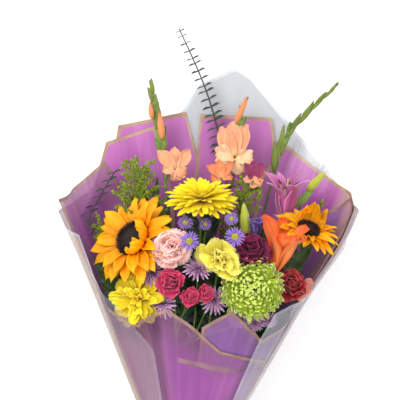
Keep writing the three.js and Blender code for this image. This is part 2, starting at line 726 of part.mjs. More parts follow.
// Film and tie.
const sheets = {
  cellophane: [0, [
    ["left", -40, 215], ["left", -120, 300], ["left", -189, 400], ["back", -192, 410], ["back", -120, 470],
    ["back", -20, 552], ["back", 23, 618], ["back", 80, 646], ["back", 104, 630], ["back", 213, 492],
    ["back", 262, 408], ["right", 258, 392], ["right", 170, 300], ["right", 112, 236],
  ]],
  purple_sheet_back_left: [1, [
    ["back", -116, 470], ["back", -104, 553], ["back", 1, 575], ["back", 34, 450], ["back", 60, 380],
  ]],
  purple_sheet_back_centre: [2, [
    ["back", -10, 400], ["back", 16, 480], ["back", 24, 571], ["back", 137, 565], ["back", 150, 450],
  ]],
  purple_sheet_left: [2, [
    ["back", -150, 420], ["back", -124, 526], ["back", -48, 553], ["back", -20, 450],
  ]],
  purple_sheet_right: [3, [
    ["back", 120, 470], ["back", 157, 525], ["back", 255, 446], ["back", 255, 400],
  ]],
  purple_sheet_front_left: [3, [
    ["left", 122, 195], ["left", 52, 215], ["left", -25, 279], ["left", -108, 294], ["left", -182, 404],
    ["back", -190, 428], ["back", -174, 452], ["back", -128, 496], ["back", -96, 443],
  ]],
  purple_sheet_front_right: [4, [
    ["back", 190, 405], ["back", 240, 425], ["back", 256, 440], ["right", 258, 410], ["right", 240, 372],
    ["right", 129, 221], ["right", 68, 275], ["right", 26, 250],
  ]],
};
for (const [name, [layer, corners]] of Object.entries(sheets)) {
  const material = name === "cellophane" ? FINISHES.cellophane : FINISHES.purpleFilm;
  place(name, filmSheet(layer, corners), material, 0.01);
}

function tieBand() {
  const [half, sides, loose, thick] = [4, 360 / WRAP_FACET, 0.8, 1.2];
  const ring = [[-half, loose], [-half, loose + thick], [half, loose + thick], [half, loose]];
  const positions = [];
  const indices = [];
  for (let j = 0; j < sides; j++) {
    for (const [y, outward] of ring) {
      positions.push(...wrapPoint((360 * j) / sides, y, filmStack(y) + outward).toArray());
    }
    const a = 4 * j;
    const b = 4 * ((j + 1) % sides);
    for (let k = 0; k < 4; k++) {
      const next = (k + 1) % 4;
      indices.push(a + k, b + k, a + next, b + k, b + next, a + next);
    }
  }
  const geometry = new THREE.BufferGeometry();
  geometry.setAttribute("position", new THREE.Float32BufferAttribute(positions, 3));
  geometry.setIndex(indices);
  return solidOf(geometry);
}
place("tie_band", tieBand(), FINISHES.tie);

// Blooms.
function addBloom(name, parts, material, suffix = "") {
  const { at, face } = HEADS[name];
  place(name + suffix, placed(fuse(parts), at, face), material);
}

function sunflower(name, size, random, folding) {
  const disc = 0.35 * size;
  const heart = solidOf(turned([[0, -11], [9, -11], [9, -2.1], [0, -2.1]], 5));
  const ray = { ...POINTED, ...folding, start: disc + 1, cup: 0.05 };
  const upper = { count: 9, base: -4.5, offset: 0.4 };
  const parts = [
    heart,
    rosette({ ...ray, count: 14, base: -8, length: size - disc, rise: [22, -10] }, random),
    rosette({ ...ray, ...upper, length: 0.82 * (size - disc), rise: [34, 20] }, random),
  ];
  addBloom(name, parts, FINISHES.sunflower, "_petals");
  const crown = [[disc, 1.5], [disc * 0.75, 4.6], [disc * 0.4, 3.8], [0, 2.4]];
  const outline = [[0, -1.7], [disc - 3, -1.7], ...crown];
  const seeds = turned(outline, 14);
  const position = seeds.getAttribute("position");
  for (let i = 0; i < position.count; i++) {
    const [x, y, z] = [position.getX(i), position.getY(i), position.getZ(i)];
    if (z > 2 && Math.hypot(x, y) > 1) position.setZ(i, z + 0.7 * Math.cos(8 * Math.atan2(y, x)));
  }
  addBloom(name, [solidOf(seeds)], FINISHES.seeds, "_disc");
}
sunflower("sunflower_left", 72, seeded(1), { fold: 38, foldToward: radians(-5) });
sunflower("sunflower_right", 46, seeded(2), { fold: 22, foldToward: radians(215) });

function gerbera() {
  const random = seeded(3);
  const heart = solidOf(turned([[0, -9], [8, -8.5], [9, 0], [0, 7]], 6));
  const ray = { ...STRAP };
  const parts = [
    heart,
    rosette({ ...ray, count: 13, start: 8, base: -6, length: 47, rise: [8, -4] }, random),
    rosette({ ...ray, count: 10, start: 7, base: -2, length: 37, rise: [30, 16], offset: 0.3 }, random),
    rosette({ ...ray, count: 6, start: 4, base: 3, length: 22, rise: [52, 44] }, random),
  ];
  addBloom("gerbera", parts, FINISHES.yellow, "_petals");
}
gerbera();

function carnation(name, size, random, material) {
  const heart = solidOf(turned([[0, -26], [6, -24], [5, 2], [0, 4]], 6));
  const frill = { ...RUFFLED, wave: 0.08 * size, jitter: 0.16 };
  const second = { count: 4, start: 3, base: -11, offset: 0.5 };
  const parts = [
    heart,
    rosette({ ...frill, count: 5, start: 3, base: -17, length: 1.02 * size, rise: [52, 2] }, random),
    rosette({ ...frill, ...second, length: 0.92 * size, rise: [60, 24] }, random),
    rosette({ ...frill, count: 3, start: 2, base: -6, length: 0.74 * size, rise: [72, 44] }, random),
    rosette({ ...frill, count: 3, start: 1, base: -1, length: 0.5 * size, rise: [82, 64] }, random),
  ];
  addBloom(name, parts, material);
}
carnation("pink_carnation", 30, seeded(4), FINISHES.pink);
carnation("pale_yellow_carnation", 31, seeded(5), FINISHES.paleYellow);
carnation("burgundy_carnation", 27, seeded(6), FINISHES.burgundy);
carnation("yellow_carnation", 31, seeded(7), FINISHES.yellow);

function greenMum() {
  const random = seeded(8);
  const heart = solidOf(turned([[0, -30], [22, -14], [20, 10], [0, 20]], 5));
  const floret = { ...SPIKED, thickness: 2, jitter: 0.14 };
  const parts = [
    heart,
    rosette({ ...floret, count: 10, start: 16, base: -20, length: 28, rise: [0, 34] }, random),
    rosette({ ...floret, count: 10, start: 17, base: -8, length: 26, rise: [24, 62], offset: 0.5 }, random),
    rosette({ ...floret, count: 8, start: 14, base: 2, length: 25, rise: [44, 88] }, random),
    rosette({ ...floret, count: 5, start: 7, base: 12, length: 18, rise: [52, 100] }, random),
  ];
  addBloom("green_mum", parts, FINISHES.green);
}
greenMum();

function rose(name, size, outer, random, material) {
  const bud = [[0, -0.8], [0.3, -0.72], [0.36, 0.1], [0, 0.62]].map(([r, z]) => [r * size, z * size]);
  const form = { ...ROUNDED, jitter: 0.12 };
  const layer = (count, start, base, length, rise, offset) =>
    rosette(sized({ ...form, count, start, base, length, rise, offset }, size), random);
  const parts = [
    solidOf(turned(bud, 6)),
    layer(outer, 0.3, -0.66, 1.15, [66, 4], 0),
    layer(outer - 1, 0.3, -0.44, 1.05, [78, 46], 0.5),
    layer(outer - 2, 0.28, -0.16, 0.8, [88, 84], 0.2),
  ];
  addBloom(name, parts, material);
}
rose("spray_rose_a", 20, 5, seeded(21), FINISHES.hotPink);
rose("spray_rose_b", 14, 4, seeded(22), FINISHES.hotPink);
rose("spray_rose_c", 12.5, 4, seeded(23), FINISHES.hotPink);
rose("red_rose", 23.5, 5, seeded(24), FINISHES.red);

function lily(name, length, rise, seed, material) {
  const throat = solidOf(turned([[0, -10], [4, -9], [5, 2], [0, 6]], 6));
  const form = { count: 6, ...TEPAL, start: 3, base: -4, length, rise, cup: 0.03 };
  addBloom(name, [throat, rosette(form, seeded(seed))], material, "_petals");
}
lily("orange_lily", 92, [84, 46], 31, FINISHES.lilyOrange);
lily("pink_lily", 84, [82, 26], 32, FINISHES.lilyPink);

function daisy(name, rays, size, seed) {
  const form = { ...SPIKED, count: rays, start: 0.28 * size, base: -1, dome: 0.18 * size };
  const ring = rosette({ ...form, length: 0.72 * size, rise: [12, 4] }, seeded(seed));
  return placed(ring, HEADS[name].at, HEADS[name].face);
}

// Twigs that join several heads to one stem.
function twig(owner, share, name, radius = 1.3) {
  const { point } = alongStem(owner, share);
  const { base, neck } = stemStart(name);
  const bend = point.clone().lerp(neck, 0.55);
  bend.z = mix(point.z, neck.z, 0.35);
  return solidOf(tube([point, bend, neck, base], () => radius, 5, 4));
}

// A head that grows out of its own twig sinks its base into the twig's end.
function sunkTwig(owner, share, name, radius = 1.3) {
  const { point } = alongStem(owner, share);
  const { base, neck } = stemStart(name);
  const bend = point.clone().lerp(neck, 0.55);
  bend.z = mix(point.z, neck.z, 0.35);
  const end = base.clone().lerp(vector(HEADS[name].at), 0.5);
  return solidOf(tube([point, bend, neck, end], () => radius, 3, 4));
}

function asterSpray() {
  const owner = "aster_e";
  const parts = [stemTube(owner), sunkTwig(owner, 0.95, "aster_e")];
  const heads = { aster_a: [0.84, 15], aster_b: [0.84, 15], aster_c: [0.8, 12], aster_d: [0.88, 11] };
  let seed = 40;
  for (const [name, [share, size]] of Object.entries(heads)) {
    parts.push(sunkTwig(owner, share, name), daisy(name, 8, size, seed));
    seed += 1;
  }
  parts.push(daisy("aster_e", 7, 10, 49));
  place("aster_spray", fuse(parts), FINISHES.aster);
}
asterSpray();

function mauveSpray() {
  const owner = "mauve_b";
  const parts = [stemTube(owner), sunkTwig(owner, 0.95, "mauve_b")];
  let seed = 50;
  for (const [name, share] of Object.entries({ mauve_a: 0.74, mauve_b: 0, mauve_c: 0.78, mauve_d: 0.76 })) {
    if (share) parts.push(sunkTwig(owner, share, name));
    parts.push(daisy(name, 9, 18, seed));
    seed += 1;
  }
  place("mauve_daisy_spray", fuse(parts), FINISHES.mauve);
}
mauveSpray();

// Stems with the green cup under each bloom.
function calyx(name, outline) {
  const { at, face } = HEADS[name];
  return placed(solidOf(turned(outline, 6)), at, face);
}

function plainStem(name, cup, extra = []) {
  const parts = [stemTube(name)];
  if (cup) parts.push(calyx(name, cup));
  place(name + "_stem", fuse([...parts, ...extra]), FINISHES.stem);
}

function sunflowerStem(name, size, folding) {
  const { at, face } = HEADS[name];
  const cup = [[0, -24], [5, -22], [0.26 * size, -15], [0.2 * size, -11.4], [0, -11.4]];
  const bracts = { ...POINTED, ...folding, count: 5, start: 0.26 * size, base: -14, length: 0.3 * size };
  const ring = placed(rosette({ ...bracts, rise: [-4, 6] }, seeded(60)), at, face);
  plainStem(name, cup, [ring]);
}
sunflowerStem("sunflower_left", 72, { fold: 30, foldToward: radians(-5) });
sunflowerStem("sunflower_right", 46, { fold: 16, foldToward: radians(215) });
plainStem("gerbera", [[0, -18], [4, -17], [10, -10.5], [9, -9.4], [0, -9.4]]);
for (const name of ["pink_carnation", "pale_yellow_carnation", "burgundy_carnation", "yellow_carnation"]) {
  const depth = HEADS[name].depth;
  const cup = [[0, -14], [4, -12], [6, -2], [5, -0.4], [0, -0.4]];
  plainStem(name, cup.map(([radius, height]) => [radius, height - depth]));
}
plainStem("green_mum", [[0, -40], [5, -38], [11, -32], [9, -30.4], [0, -30.4]]);
plainStem("red_rose", [[0, -27], [5, -25], [8, -20.5], [7, -19.2], [0, -19.2]]);

const smallRoses = ["spray_rose_b", "spray_rose_c"];
const roseTwigs = smallRoses.map((name, k) => twig("spray_rose_a", 0.78 + 0.04 * k, name, 1.6));
plainStem("spray_rose_a", null, roseTwigs);

// Round buds: a small turned solid set on a point, its long axis along a direction.
function bud(at, along, length, radius, sides = 4) {
  const outline = [[0, 0], [radius, 0.32 * length], [0.8 * radius, 0.68 * length], [0, length]];
  return placed(solidOf(turned(outline, sides)), at, along);
}

const lilyBuds = [
  { root: [91, 380, 140], along: [-0.08, 0.98, 0.1], length: 50, radius: 8.5 },
  { root: [184, 448, 92], along: [0.66, 0.72, 0.2], length: 40, radius: 7 },
];
function lilyBudTwig(owner, share, { root, along, length, radius }) {
  const { point } = alongStem(owner, share);
  const end = vector(root).addScaledVector(vector(along), 3);
  const bend = point.clone().lerp(end, 0.5);
  bend.z -= 6;
  return [solidOf(tube([point, bend, end], () => 1.6, 5, 4)), bud(root, along, length, radius, 7)];
}
plainStem("orange_lily", null, lilyBudTwig("orange_lily", 0.8, lilyBuds[0]));
plainStem("pink_lily", null, lilyBudTwig("pink_lily", 0.86, lilyBuds[1]));

// Stamens spread from one foot in the throat of the pink lily.
function stamens(name, count, reach) {
  const parts = [solidOf(turned([[0, 6.4], [2.4, 6.6], [0, 15]], 4))];
  for (let k = 0; k < count; k++) {
    const angle = (2 * Math.PI * k) / count;
    const turn = new THREE.Vector3(Math.cos(angle), Math.sin(angle), 0);
    const out = (radius, height) => turn.clone().multiplyScalar(radius).setZ(height);
    const end = out(0.26 * reach, reach);
    parts.push(solidOf(tube([out(0.2, 9), out(3, 0.5 * reach), end], () => 0.7, 3, 2)));
    const across = [Math.cos(angle), Math.sin(angle), 0.3];
    parts.push(bud(end.clone().add(out(-4, 0)).toArray(), across, 9, 1.5, 3));
  }
  place(name + "_stamens", placed(fuse(parts), HEADS[name].at, HEADS[name].face), FINISHES.stem);
}
stamens("pink_lily", 4, 56);

// Gladiolus spikes: open flowers are nodes of their own, buds stay on the spike.
const GLADIOLUS_FLOWERS = {
  gladiolus_left_flower: { at: [-12, 494, 78], face: [0.35, 0.35, 0.87], size: 25 },
  gladiolus_centre_flower_a: { at: [76, 520, 82], face: [-0.15, 0.2, 0.97], size: 34 },
  gladiolus_centre_flower_b: { at: [53, 478, 96], face: [-0.3, 0.3, 0.9], size: 23 },
  gladiolus_centre_flower_c: { at: [108, 478, 100], face: [0.25, 0.5, 0.83], size: 21 },
};
function flowerStalk(name, flower) {
  const { at, face, size } = GLADIOLUS_FLOWERS[flower];
  const back = vector(face).normalize();
  const end = vector(at).addScaledVector(back, -0.5 * size - GAP);
  const below = end.clone().setY(end.y - 22);
  const shares = Array.from({ length: 60 }, (_, i) => 0.6 + (0.39 * i) / 59);
  const nearest = shares.map((share) => alongStem(name, share).point);
  nearest.sort((p, q) => p.distanceTo(below) - q.distanceTo(below));
  const bend = nearest[0].clone().lerp(end, 0.6).addScaledVector(back, -3);
  return solidOf(tube([nearest[0], bend, end], (t) => mix(1.6, 2.6, t), 4, 3));
}
function gladiolusFlower(name, seed) {
  const { at, face, size } = GLADIOLUS_FLOWERS[name];
  const throat = [[0, -0.5], [0.12, -0.45], [0.16, -0.1], [0, 0.1]].map(([r, z]) => [r * size, z * size]);
  const form = { count: 6, ...POINTED, start: 0.1 * size, base: -0.3 * size };
  const petals = rosette({ ...form, length: 1.1 * size, rise: [62, 14], wave: 0.05 * size }, seeded(seed));
  place(name, placed(fuse([solidOf(turned(throat, 5)), petals]), at, face), FINISHES.peach);
}

function spike(name, buds, from, to, flowers = []) {
  const parts = [stemTube(name, { tip: 0.4, steps: 12, sides: 4 })];
  parts.push(...flowers.map((flower) => flowerStalk(name, flower)));
  for (let k = 0; k < buds; k++) {
    const share = mix(from, to, k / (buds - 1));
    const { point, heading } = alongStem(name, share);
    const side = new THREE.Vector3(k % 2 ? 1 : -1, 0, 0.5).normalize();
    const along = heading.clone().addScaledVector(side, 0.42).normalize();
    const length = mix(34, 15, k / (buds - 1));
    parts.push(bud(point.toArray(), along.toArray(), length, length * 0.19));
  }
  place(name + "_spike", fuse(parts), FINISHES.goldenrod);
}
spike("gladiolus_left", 6, 0.84, 0.985, ["gladiolus_left_flower"]);
spike("gladiolus_centre", 4, 0.9, 0.985, Object.keys(GLADIOLUS_FLOWERS).slice(1));
spike("gladiolus_right", 7, 0.79, 0.985);
Object.keys(GLADIOLUS_FLOWERS).forEach((name, index) => gladiolusFlower(name, 71 + index));

// Bell flower and the small lime bloom.
function bellFlower() {
  const throat = solidOf(turned([[0, -18], [4, -15], [4, -8], [0, -4]], 5));
  const bell = { count: 6, ...ROUNDED, start: 3, base: -12, length: 32, rise: [86, 52] };
  addBloom("bell_flower", [throat, rosette(bell, seeded(81))], FINISHES.statice);
}
bellFlower();
plainStem("bell_flower", null);

function limeBloom() {
  const random = seeded(82);
  const heart = solidOf(turned([[0, -14], [6, -12], [8, -2], [0, 7]], 5));
  const tuft = { ...SPIKED, thickness: 1.6 };
  const parts = [
    heart,
    rosette({ ...tuft, count: 7, start: 5, base: -6, length: 16, rise: [4, 24] }, random),
    rosette({ ...tuft, count: 5, start: 4, base: 0, length: 15, rise: [34, 60], offset: 0.5 }, random),
  ];
  addBloom("lime_bloom", parts, FINISHES.lime);
}
limeBloom();
plainStem("lime_bloom", null);

// Goldenrod: bent side twigs covered in clustered florets, larger than life.
function goldenrod(name, plumes, reach, seed) {
  const random = seeded(seed);
  const parts = [stemTube(name, { tip: 0.5, sides: 4, steps: 9 })];
  const beads = 4;
  for (let k = 0; k < plumes; k++) {
    const { point, heading } = alongStem(name, mix(0.8, 0.97, k / (plumes - 1)));
    const side = new THREE.Vector3(k % 2 ? 1 : -1, 0, 0.2 + 0.5 * random()).normalize();
    const length = reach * (0.8 + 0.4 * random());
    const reachTo = (ahead, aside) =>
      point.clone().addScaledVector(heading, length * ahead).addScaledVector(side, length * aside);
    const [middle, end] = [reachTo(0.4, 0.35), reachTo(0.75, 0.85)];
    const bead = (_, n) => (n % 2 ? 5.4 : 2.6) * (0.8 + 0.4 * random());
    const sizes = Array.from({ length: beads + 1 }, bead);
    const radiusAt = (t) => sizes[Math.round(t * beads)] * mix(1, 0.6, t);
    parts.push(solidOf(tube([point, middle, end], radiusAt, 4, beads)));
  }
  place(name, fuse(parts), FINISHES.goldenrod);
}
goldenrod("goldenrod_left", 5, 40, 91);
goldenrod("goldenrod_far_left", 3, 24, 92);
goldenrod("goldenrod_centre", 3, 30, 93);
goldenrod("goldenrod_right", 3, 21, 94);

// Eucalyptus: opposite narrow leaves at even steps, seen almost edge-on.
function eucalyptus(name, pairs, from, to, size) {
  const parts = [stemTube(name, { tip: 0.4, steps: 11, sides: 4 })];
  for (let k = 0; k < pairs; k++) {
    const { point, heading } = alongStem(name, mix(from, to, k / (pairs - 1)));
    for (const hand of [-1, 1]) {
      const side = new THREE.Vector3(hand, 0, 0).addScaledVector(heading, -hand * heading.x).normalize();
      const along = side.clone().addScaledVector(heading, 0.3);
      const length = size * mix(1, 0.45, k / (pairs - 1));
      const leaf = new THREE.OctahedronGeometry(1).scale(0.28 * length, 0.6, 0.5 * length);
      leaf.translate(0, 0, 0.46 * length);
      parts.push(placed(solidOf(leaf), point.toArray(), along.toArray()));
    }
  }
  place(name, fuse(parts), FINISHES.eucalyptus);
}
eucalyptus("eucalyptus_top", 10, 0.68, 0.985, 17);
eucalyptus("eucalyptus_left", 7, 0.66, 0.985, 19);

// Broad leaves on stems of their own, in the dark gaps between the heads.
const LEAVES = {
  leaf_spray_left: [[[-116, 306, 84], 30], [[-34, 356, 118], 26], [[-46, 268, 106], 26]],
  leaf_spray_right: [[[206, 330, 96], 28], [[186, 278, 96], 26], [[118, 392, 112], 24]],
};
function leafSpray(name, leaves) {
  const parts = [stemTube(name, { tip: 0.6, sides: 4, steps: 8 })];
  leaves.forEach(([tip, width], index) => {
    const { point } = alongStem(name, mix(0.985, 0.93, index / 2));
    const along = vector(tip).sub(point);
    const length = along.length();
    along.normalize();
    const side = along.clone().cross(new THREE.Vector3(0, 0, 1)).normalize();
    const form = { length, width, start: -1, base: 0, rise: [10, -14], cup: 0.14, root: 0.16, widest: 0.42 };
    const matrix = new THREE.Matrix4().makeBasis(side, along, side.clone().cross(along)).setPosition(point);
    parts.push(solidOf(petal(form)).transform(matrix.elements));
  });
  place(name, fuse(parts), FINISHES.leaf);
}
for (const [name, leaves] of Object.entries(LEAVES)) leafSpray(name, leaves);

// The bundle, centred on its own box so that it stands on its lowest point.
const bouquet = new THREE.Group();
for (const { name, solid, material } of nodes) {
  const mesh = solid.getMesh();
  const geometry = new THREE.BufferGeometry();
  geometry.setAttribute("position", new THREE.BufferAttribute(new Float32Array(mesh.vertProperties), 3));
  geometry.setIndex(new THREE.BufferAttribute(new Uint32Array(mesh.triVerts), 1));
  geometry.computeVertexNormals();
  const piece = new THREE.Mesh(geometry, material);
  piece.name = name;
  bouquet.add(piece);
}
const bounds = new THREE.Box3().setFromObject(bouquet);
const centre = bounds.getCenter(new THREE.Vector3());
bouquet.position.set(-centre.x, -centre.y, -bounds.min.z);
bouquet.updateMatrixWorld(true);

export default bouquet;
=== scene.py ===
# %% [markdown]
# # A mixed flower bouquet in its wrapper
# This lesson builds the looks of a bouquet round a CAD frame. The frame has every stem, bloom and
# sheet of film as a plain solid at its true place. Here each of them gets its petals, folds, veins
# and colours. Everything is in metres, and the bouquet lies on its back with the camera above it.

# %% The frame
import math
import random

import bmesh
import bpy
import numpy as np
from mathutils import Matrix, Vector
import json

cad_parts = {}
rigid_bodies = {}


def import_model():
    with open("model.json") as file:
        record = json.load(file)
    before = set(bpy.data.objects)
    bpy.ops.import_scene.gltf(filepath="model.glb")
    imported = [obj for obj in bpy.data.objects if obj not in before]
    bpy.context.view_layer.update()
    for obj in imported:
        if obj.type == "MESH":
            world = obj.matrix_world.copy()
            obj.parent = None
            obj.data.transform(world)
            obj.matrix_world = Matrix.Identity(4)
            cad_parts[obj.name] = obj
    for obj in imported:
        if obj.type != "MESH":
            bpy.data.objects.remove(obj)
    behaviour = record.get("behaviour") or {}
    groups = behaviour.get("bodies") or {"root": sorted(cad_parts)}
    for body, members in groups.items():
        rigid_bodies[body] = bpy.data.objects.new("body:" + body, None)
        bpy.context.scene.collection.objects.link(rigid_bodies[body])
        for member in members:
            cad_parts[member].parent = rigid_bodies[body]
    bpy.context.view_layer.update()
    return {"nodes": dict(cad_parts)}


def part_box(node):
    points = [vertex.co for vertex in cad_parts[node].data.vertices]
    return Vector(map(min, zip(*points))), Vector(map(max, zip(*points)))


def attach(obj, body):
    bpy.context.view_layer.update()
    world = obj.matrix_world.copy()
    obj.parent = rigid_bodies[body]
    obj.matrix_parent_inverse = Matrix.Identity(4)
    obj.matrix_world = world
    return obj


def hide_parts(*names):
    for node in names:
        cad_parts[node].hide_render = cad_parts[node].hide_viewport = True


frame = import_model()
for loaded in bpy.data.objects:
    loaded.select_set(False)
print("the frame holds", len(frame["nodes"]), "nodes")

# %% [markdown]
# ## Places and units
# The bouquet was drawn in millimetres from the tie: x to the right, y towards the blooms, z up
# from the surface. One function turns such a place into the frame's metres, and one more gives
# the pose of a bloom from its centre and the way it faces.

# %% Places
MM = 0.001
TIE_ASIDE = 0.35
tie_low, tie_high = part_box("tie_band")
TIE = Vector(((tie_low.x + tie_high.x) / 2 - TIE_ASIDE * MM, (tie_low.y + tie_high.y) / 2, 0))


def spot(x, y, z):
    return TIE + Vector((x, y, z)) * MM


def head_pose(at, facing):
    up = Vector(facing).normalized()
    side = (Vector((1, 0, 0)) - up * up.x).normalized()
    turn = Matrix((side, up.cross(side), up)).transposed().to_4x4()
    return Matrix.Translation(spot(*at)) @ turn


print("the tie is at", tuple(round(value, 4) for value in TIE))

# %% [markdown]
# ## Camera
# The photo looks straight at the open side of the bouquet, so the camera hangs above the
# lying model and looks down. A long lens keeps the perspective as weak as in the photo.

# %% Camera
LENS = 100
SENSOR = 36
CAMERA_AT = (23, 435, 1767)
camera_data = bpy.data.cameras.new("camera")
camera_data.lens = LENS
camera_data.sensor_width = SENSOR
camera = bpy.data.objects.new("camera", camera_data)
camera.location = spot(*CAMERA_AT)
bpy.context.scene.collection.objects.link(camera)
bpy.context.scene.camera = camera
print("the camera hangs", round(camera.location.z, 3), "m up")

# %% [markdown]
# ## Light
# Flowers are photographed in soft light from all round. A white world does most of it. A key lamp
# at the upper left gives the petals a light and a shaded side, and a broad weak lamp at the right
# fills the shadows. The floor is on stage only, and is no part of the bouquet.

# %% Light and floor
scene = bpy.context.scene
scene.view_settings.view_transform = "Standard"
world = bpy.data.worlds.new("white room")
scene.world = world
world.use_nodes = True
sky = world.node_tree.nodes["Background"]
sky.inputs["Color"].default_value = (1, 1, 1, 1)
sky.inputs["Strength"].default_value = 0.82


def add_lamp(name, at, target, size, power):
    data = bpy.data.lights.new(name, "AREA")
    data.size = size
    data.energy = power
    lamp = bpy.data.objects.new(name, data)
    lamp.location = spot(*at)
    aim = spot(*target) - lamp.location
    lamp.rotation_euler = aim.to_track_quat("-Z", "Y").to_euler()
    scene.collection.objects.link(lamp)


add_lamp("key", (-700, 1100, 1500), (20, 400, 60), 0.9, 15)
add_lamp("fill", (700, 100, 1600), (20, 400, 60), 1.6, 6)

FLOOR_DROP = 0.0006
bpy.ops.mesh.primitive_plane_add(size=6, location=spot(20, 400, 0))
floor = bpy.context.object
floor.name = "floor"
floor.location.z = -FLOOR_DROP
bpy.ops.object.transform_apply(location=True)
print("the lamps are", ", ".join(lamp.name for lamp in bpy.data.lights))

# %% [markdown]
# ## Small tools for modelling
# A few habits come back in every piece: start with nothing selected, add a basic shape with its
# material, pick vertices in edit mode by a test, and apply a modifier as soon as it has done its
# work. A template is a shape that is only there to be copied. When a piece is handed over to the
# frame, the templates are cleared away.

# %% Modelling helpers
templates = []


def deselect_all():
    if bpy.context.object and bpy.context.object.mode != "OBJECT":
        bpy.ops.object.mode_set(mode="OBJECT")
    bpy.ops.object.select_all(action="DESELECT")


def make_active(piece):
    deselect_all()
    piece.select_set(True)
    bpy.context.view_layer.objects.active = piece


def new_template(add, material, **settings):
    """Adds a basic shape with a material and a number per point for its shade."""
    deselect_all()
    add(**settings)
    shape = bpy.context.object
    shape.data.attributes.new("shade", "FLOAT", "POINT")
    shape.data.materials.append(material)
    templates.append(shape)
    return shape


def pick(piece, test):
    cage = bmesh.from_edit_mesh(piece.data)
    for vertex in cage.verts:
        vertex.select_set(bool(test(vertex)))
    bmesh.update_edit_mesh(piece.data, loop_triangles=False, destructive=False)


def apply_modifier(piece, kind, **settings):
    make_active(piece)
    modifier = piece.modifiers.new(kind.lower(), kind)
    for key, value in settings.items():
        setattr(modifier, key, value)
    bpy.ops.object.modifier_apply(modifier=modifier.name)


def join_all(name, parts):
    make_active(parts[0])
    for part in parts:
        part.select_set(True)
    bpy.ops.object.join()
    piece = bpy.context.object
    piece.name = name
    piece.data.name = name
    return piece


def smooth(piece):
    make_active(piece)
    bpy.ops.object.shade_smooth()


def hand_over(piece, node):
    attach(piece, "root")
    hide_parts(node)
    for template in templates:
        mesh = template.data
        bpy.data.objects.remove(template)
        bpy.data.meshes.remove(mesh)
    templates.clear()
    print(piece.name, "has", len(piece.data.polygons), "faces")


# %% [markdown]
# ## Small tools for materials
# A material is a net of nodes. These helpers add a node and wire it in one line, so that the
# recipes below read as sums: mix this colour with that one by this mask.

# %% Node helpers


def value_node(tree, kind, inputs, **settings):
    node = tree.nodes.new(kind)
    for key, value in settings.items():
        setattr(node, key, value)
    for index, value in inputs.items():
        if isinstance(value, bpy.types.NodeSocket):
            tree.links.new(value, node.inputs[index])
        else:
            node.inputs[index].default_value = value
    return node


def calc(tree, operation, *values, clamp=False):
    inputs = dict(enumerate(values))
    return value_node(tree, "ShaderNodeMath", inputs, operation=operation, use_clamp=clamp).outputs[0]


def blend_colours(tree, factor, first, second):
    inputs = {0: factor, 6: first, 7: second}
    return value_node(tree, "ShaderNodeMix", inputs, data_type="RGBA").outputs[2]


def ramp(tree, value, start, end, low=0.0, high=1.0):
    inputs = {0: value, 1: start, 2: end, 3: low, 4: high}
    return value_node(tree, "ShaderNodeMapRange", inputs, interpolation_type="SMOOTHSTEP").outputs[0]


def grain(tree, place, scale, detail=2.0):
    inputs = {"Vector": place, "Scale": scale, "Detail": detail}
    return value_node(tree, "ShaderNodeTexNoise", inputs).outputs["Fac"]


def stretched(tree, place, scale):
    return value_node(tree, "ShaderNodeMapping", {"Vector": place, "Scale": scale}).outputs[0]


def stored_number(tree, name):
    return value_node(tree, "ShaderNodeAttribute", {}, attribute_name=name).outputs["Fac"]


def new_group(name, inputs, outputs):
    tree = bpy.data.node_groups.new(name, "ShaderNodeTree")
    for label, kind, value in inputs:
        socket = tree.interface.new_socket(name=label, in_out="INPUT", socket_type="NodeSocket" + kind)
        if value is not None:
            socket.default_value = value
    for label, kind in outputs:
        tree.interface.new_socket(name=label, in_out="OUTPUT", socket_type="NodeSocket" + kind)
    source = tree.nodes.new("NodeGroupInput")
    result = tree.nodes.new("NodeGroupOutput")
    return tree, source.outputs, result.inputs


# %% [markdown]
# ## Colours and materials
# Colours are written as in a paint program, from 0 to 255, and turned into the linear values that
# Blender mixes. Petals, stems and leaves each have one shared node group, which holds the recipe,
# and skin_material builds a material round such a group.

# %% Material helpers


def linear(red, green, blue):
    shares = [value / 255 for value in (red, green, blue)]
    return tuple(s / 12.92 if s <= 0.04045 else ((s + 0.055) / 1.055) ** 2.4 for s in shares) + (1,)


def new_material(name, roughness):
    material = bpy.data.materials.new(name)
    material.use_nodes = True
    shader = material.node_tree.nodes["Principled BSDF"]
    shader.inputs["Roughness"].default_value = roughness
    return material, material.node_tree, shader


def add_bump(tree, shader, height, strength, distance):
    inputs = {"Strength": strength, "Distance": distance, "Height": height}
    bump = value_node(tree, "ShaderNodeBump", inputs)
    tree.links.new(bump.outputs["Normal"], shader.inputs["Normal"])


def object_place(tree):
    return tree.nodes.new("ShaderNodeTexCoord").outputs["Object"]


def skin_material(name, group, roughness, bump, colours, numbers=()):
    """A material that takes its colour and its height from a shared group."""
    material, tree, shader = new_material(name, roughness)
    skin = value_node(tree, "ShaderNodeGroup", dict(numbers), node_tree=group)
    place = tree.nodes.new("ShaderNodeTexCoord").outputs
    tree.links.new(place["Object"], skin.inputs["Place"])
    if "Surface" in skin.inputs:
        tree.links.new(place["UV"], skin.inputs["Surface"])
        tree.links.new(stored_number(tree, "shade"), skin.inputs["Shade"])
    for label, colour in colours.items():
        skin.inputs[label].default_value = linear(*colour)
    tree.links.new(skin.outputs["Color"], shader.inputs["Base Color"])
    add_bump(tree, shader, skin.outputs["Height"], *bump)
    return material, shader


# %% [markdown]
# ## The floor's finish
# The surface is plain pale board. Only a faint grain keeps it from being one flat colour. A little
# light of its own, as on a light table, keeps the shadows as weak as they are in the photo.

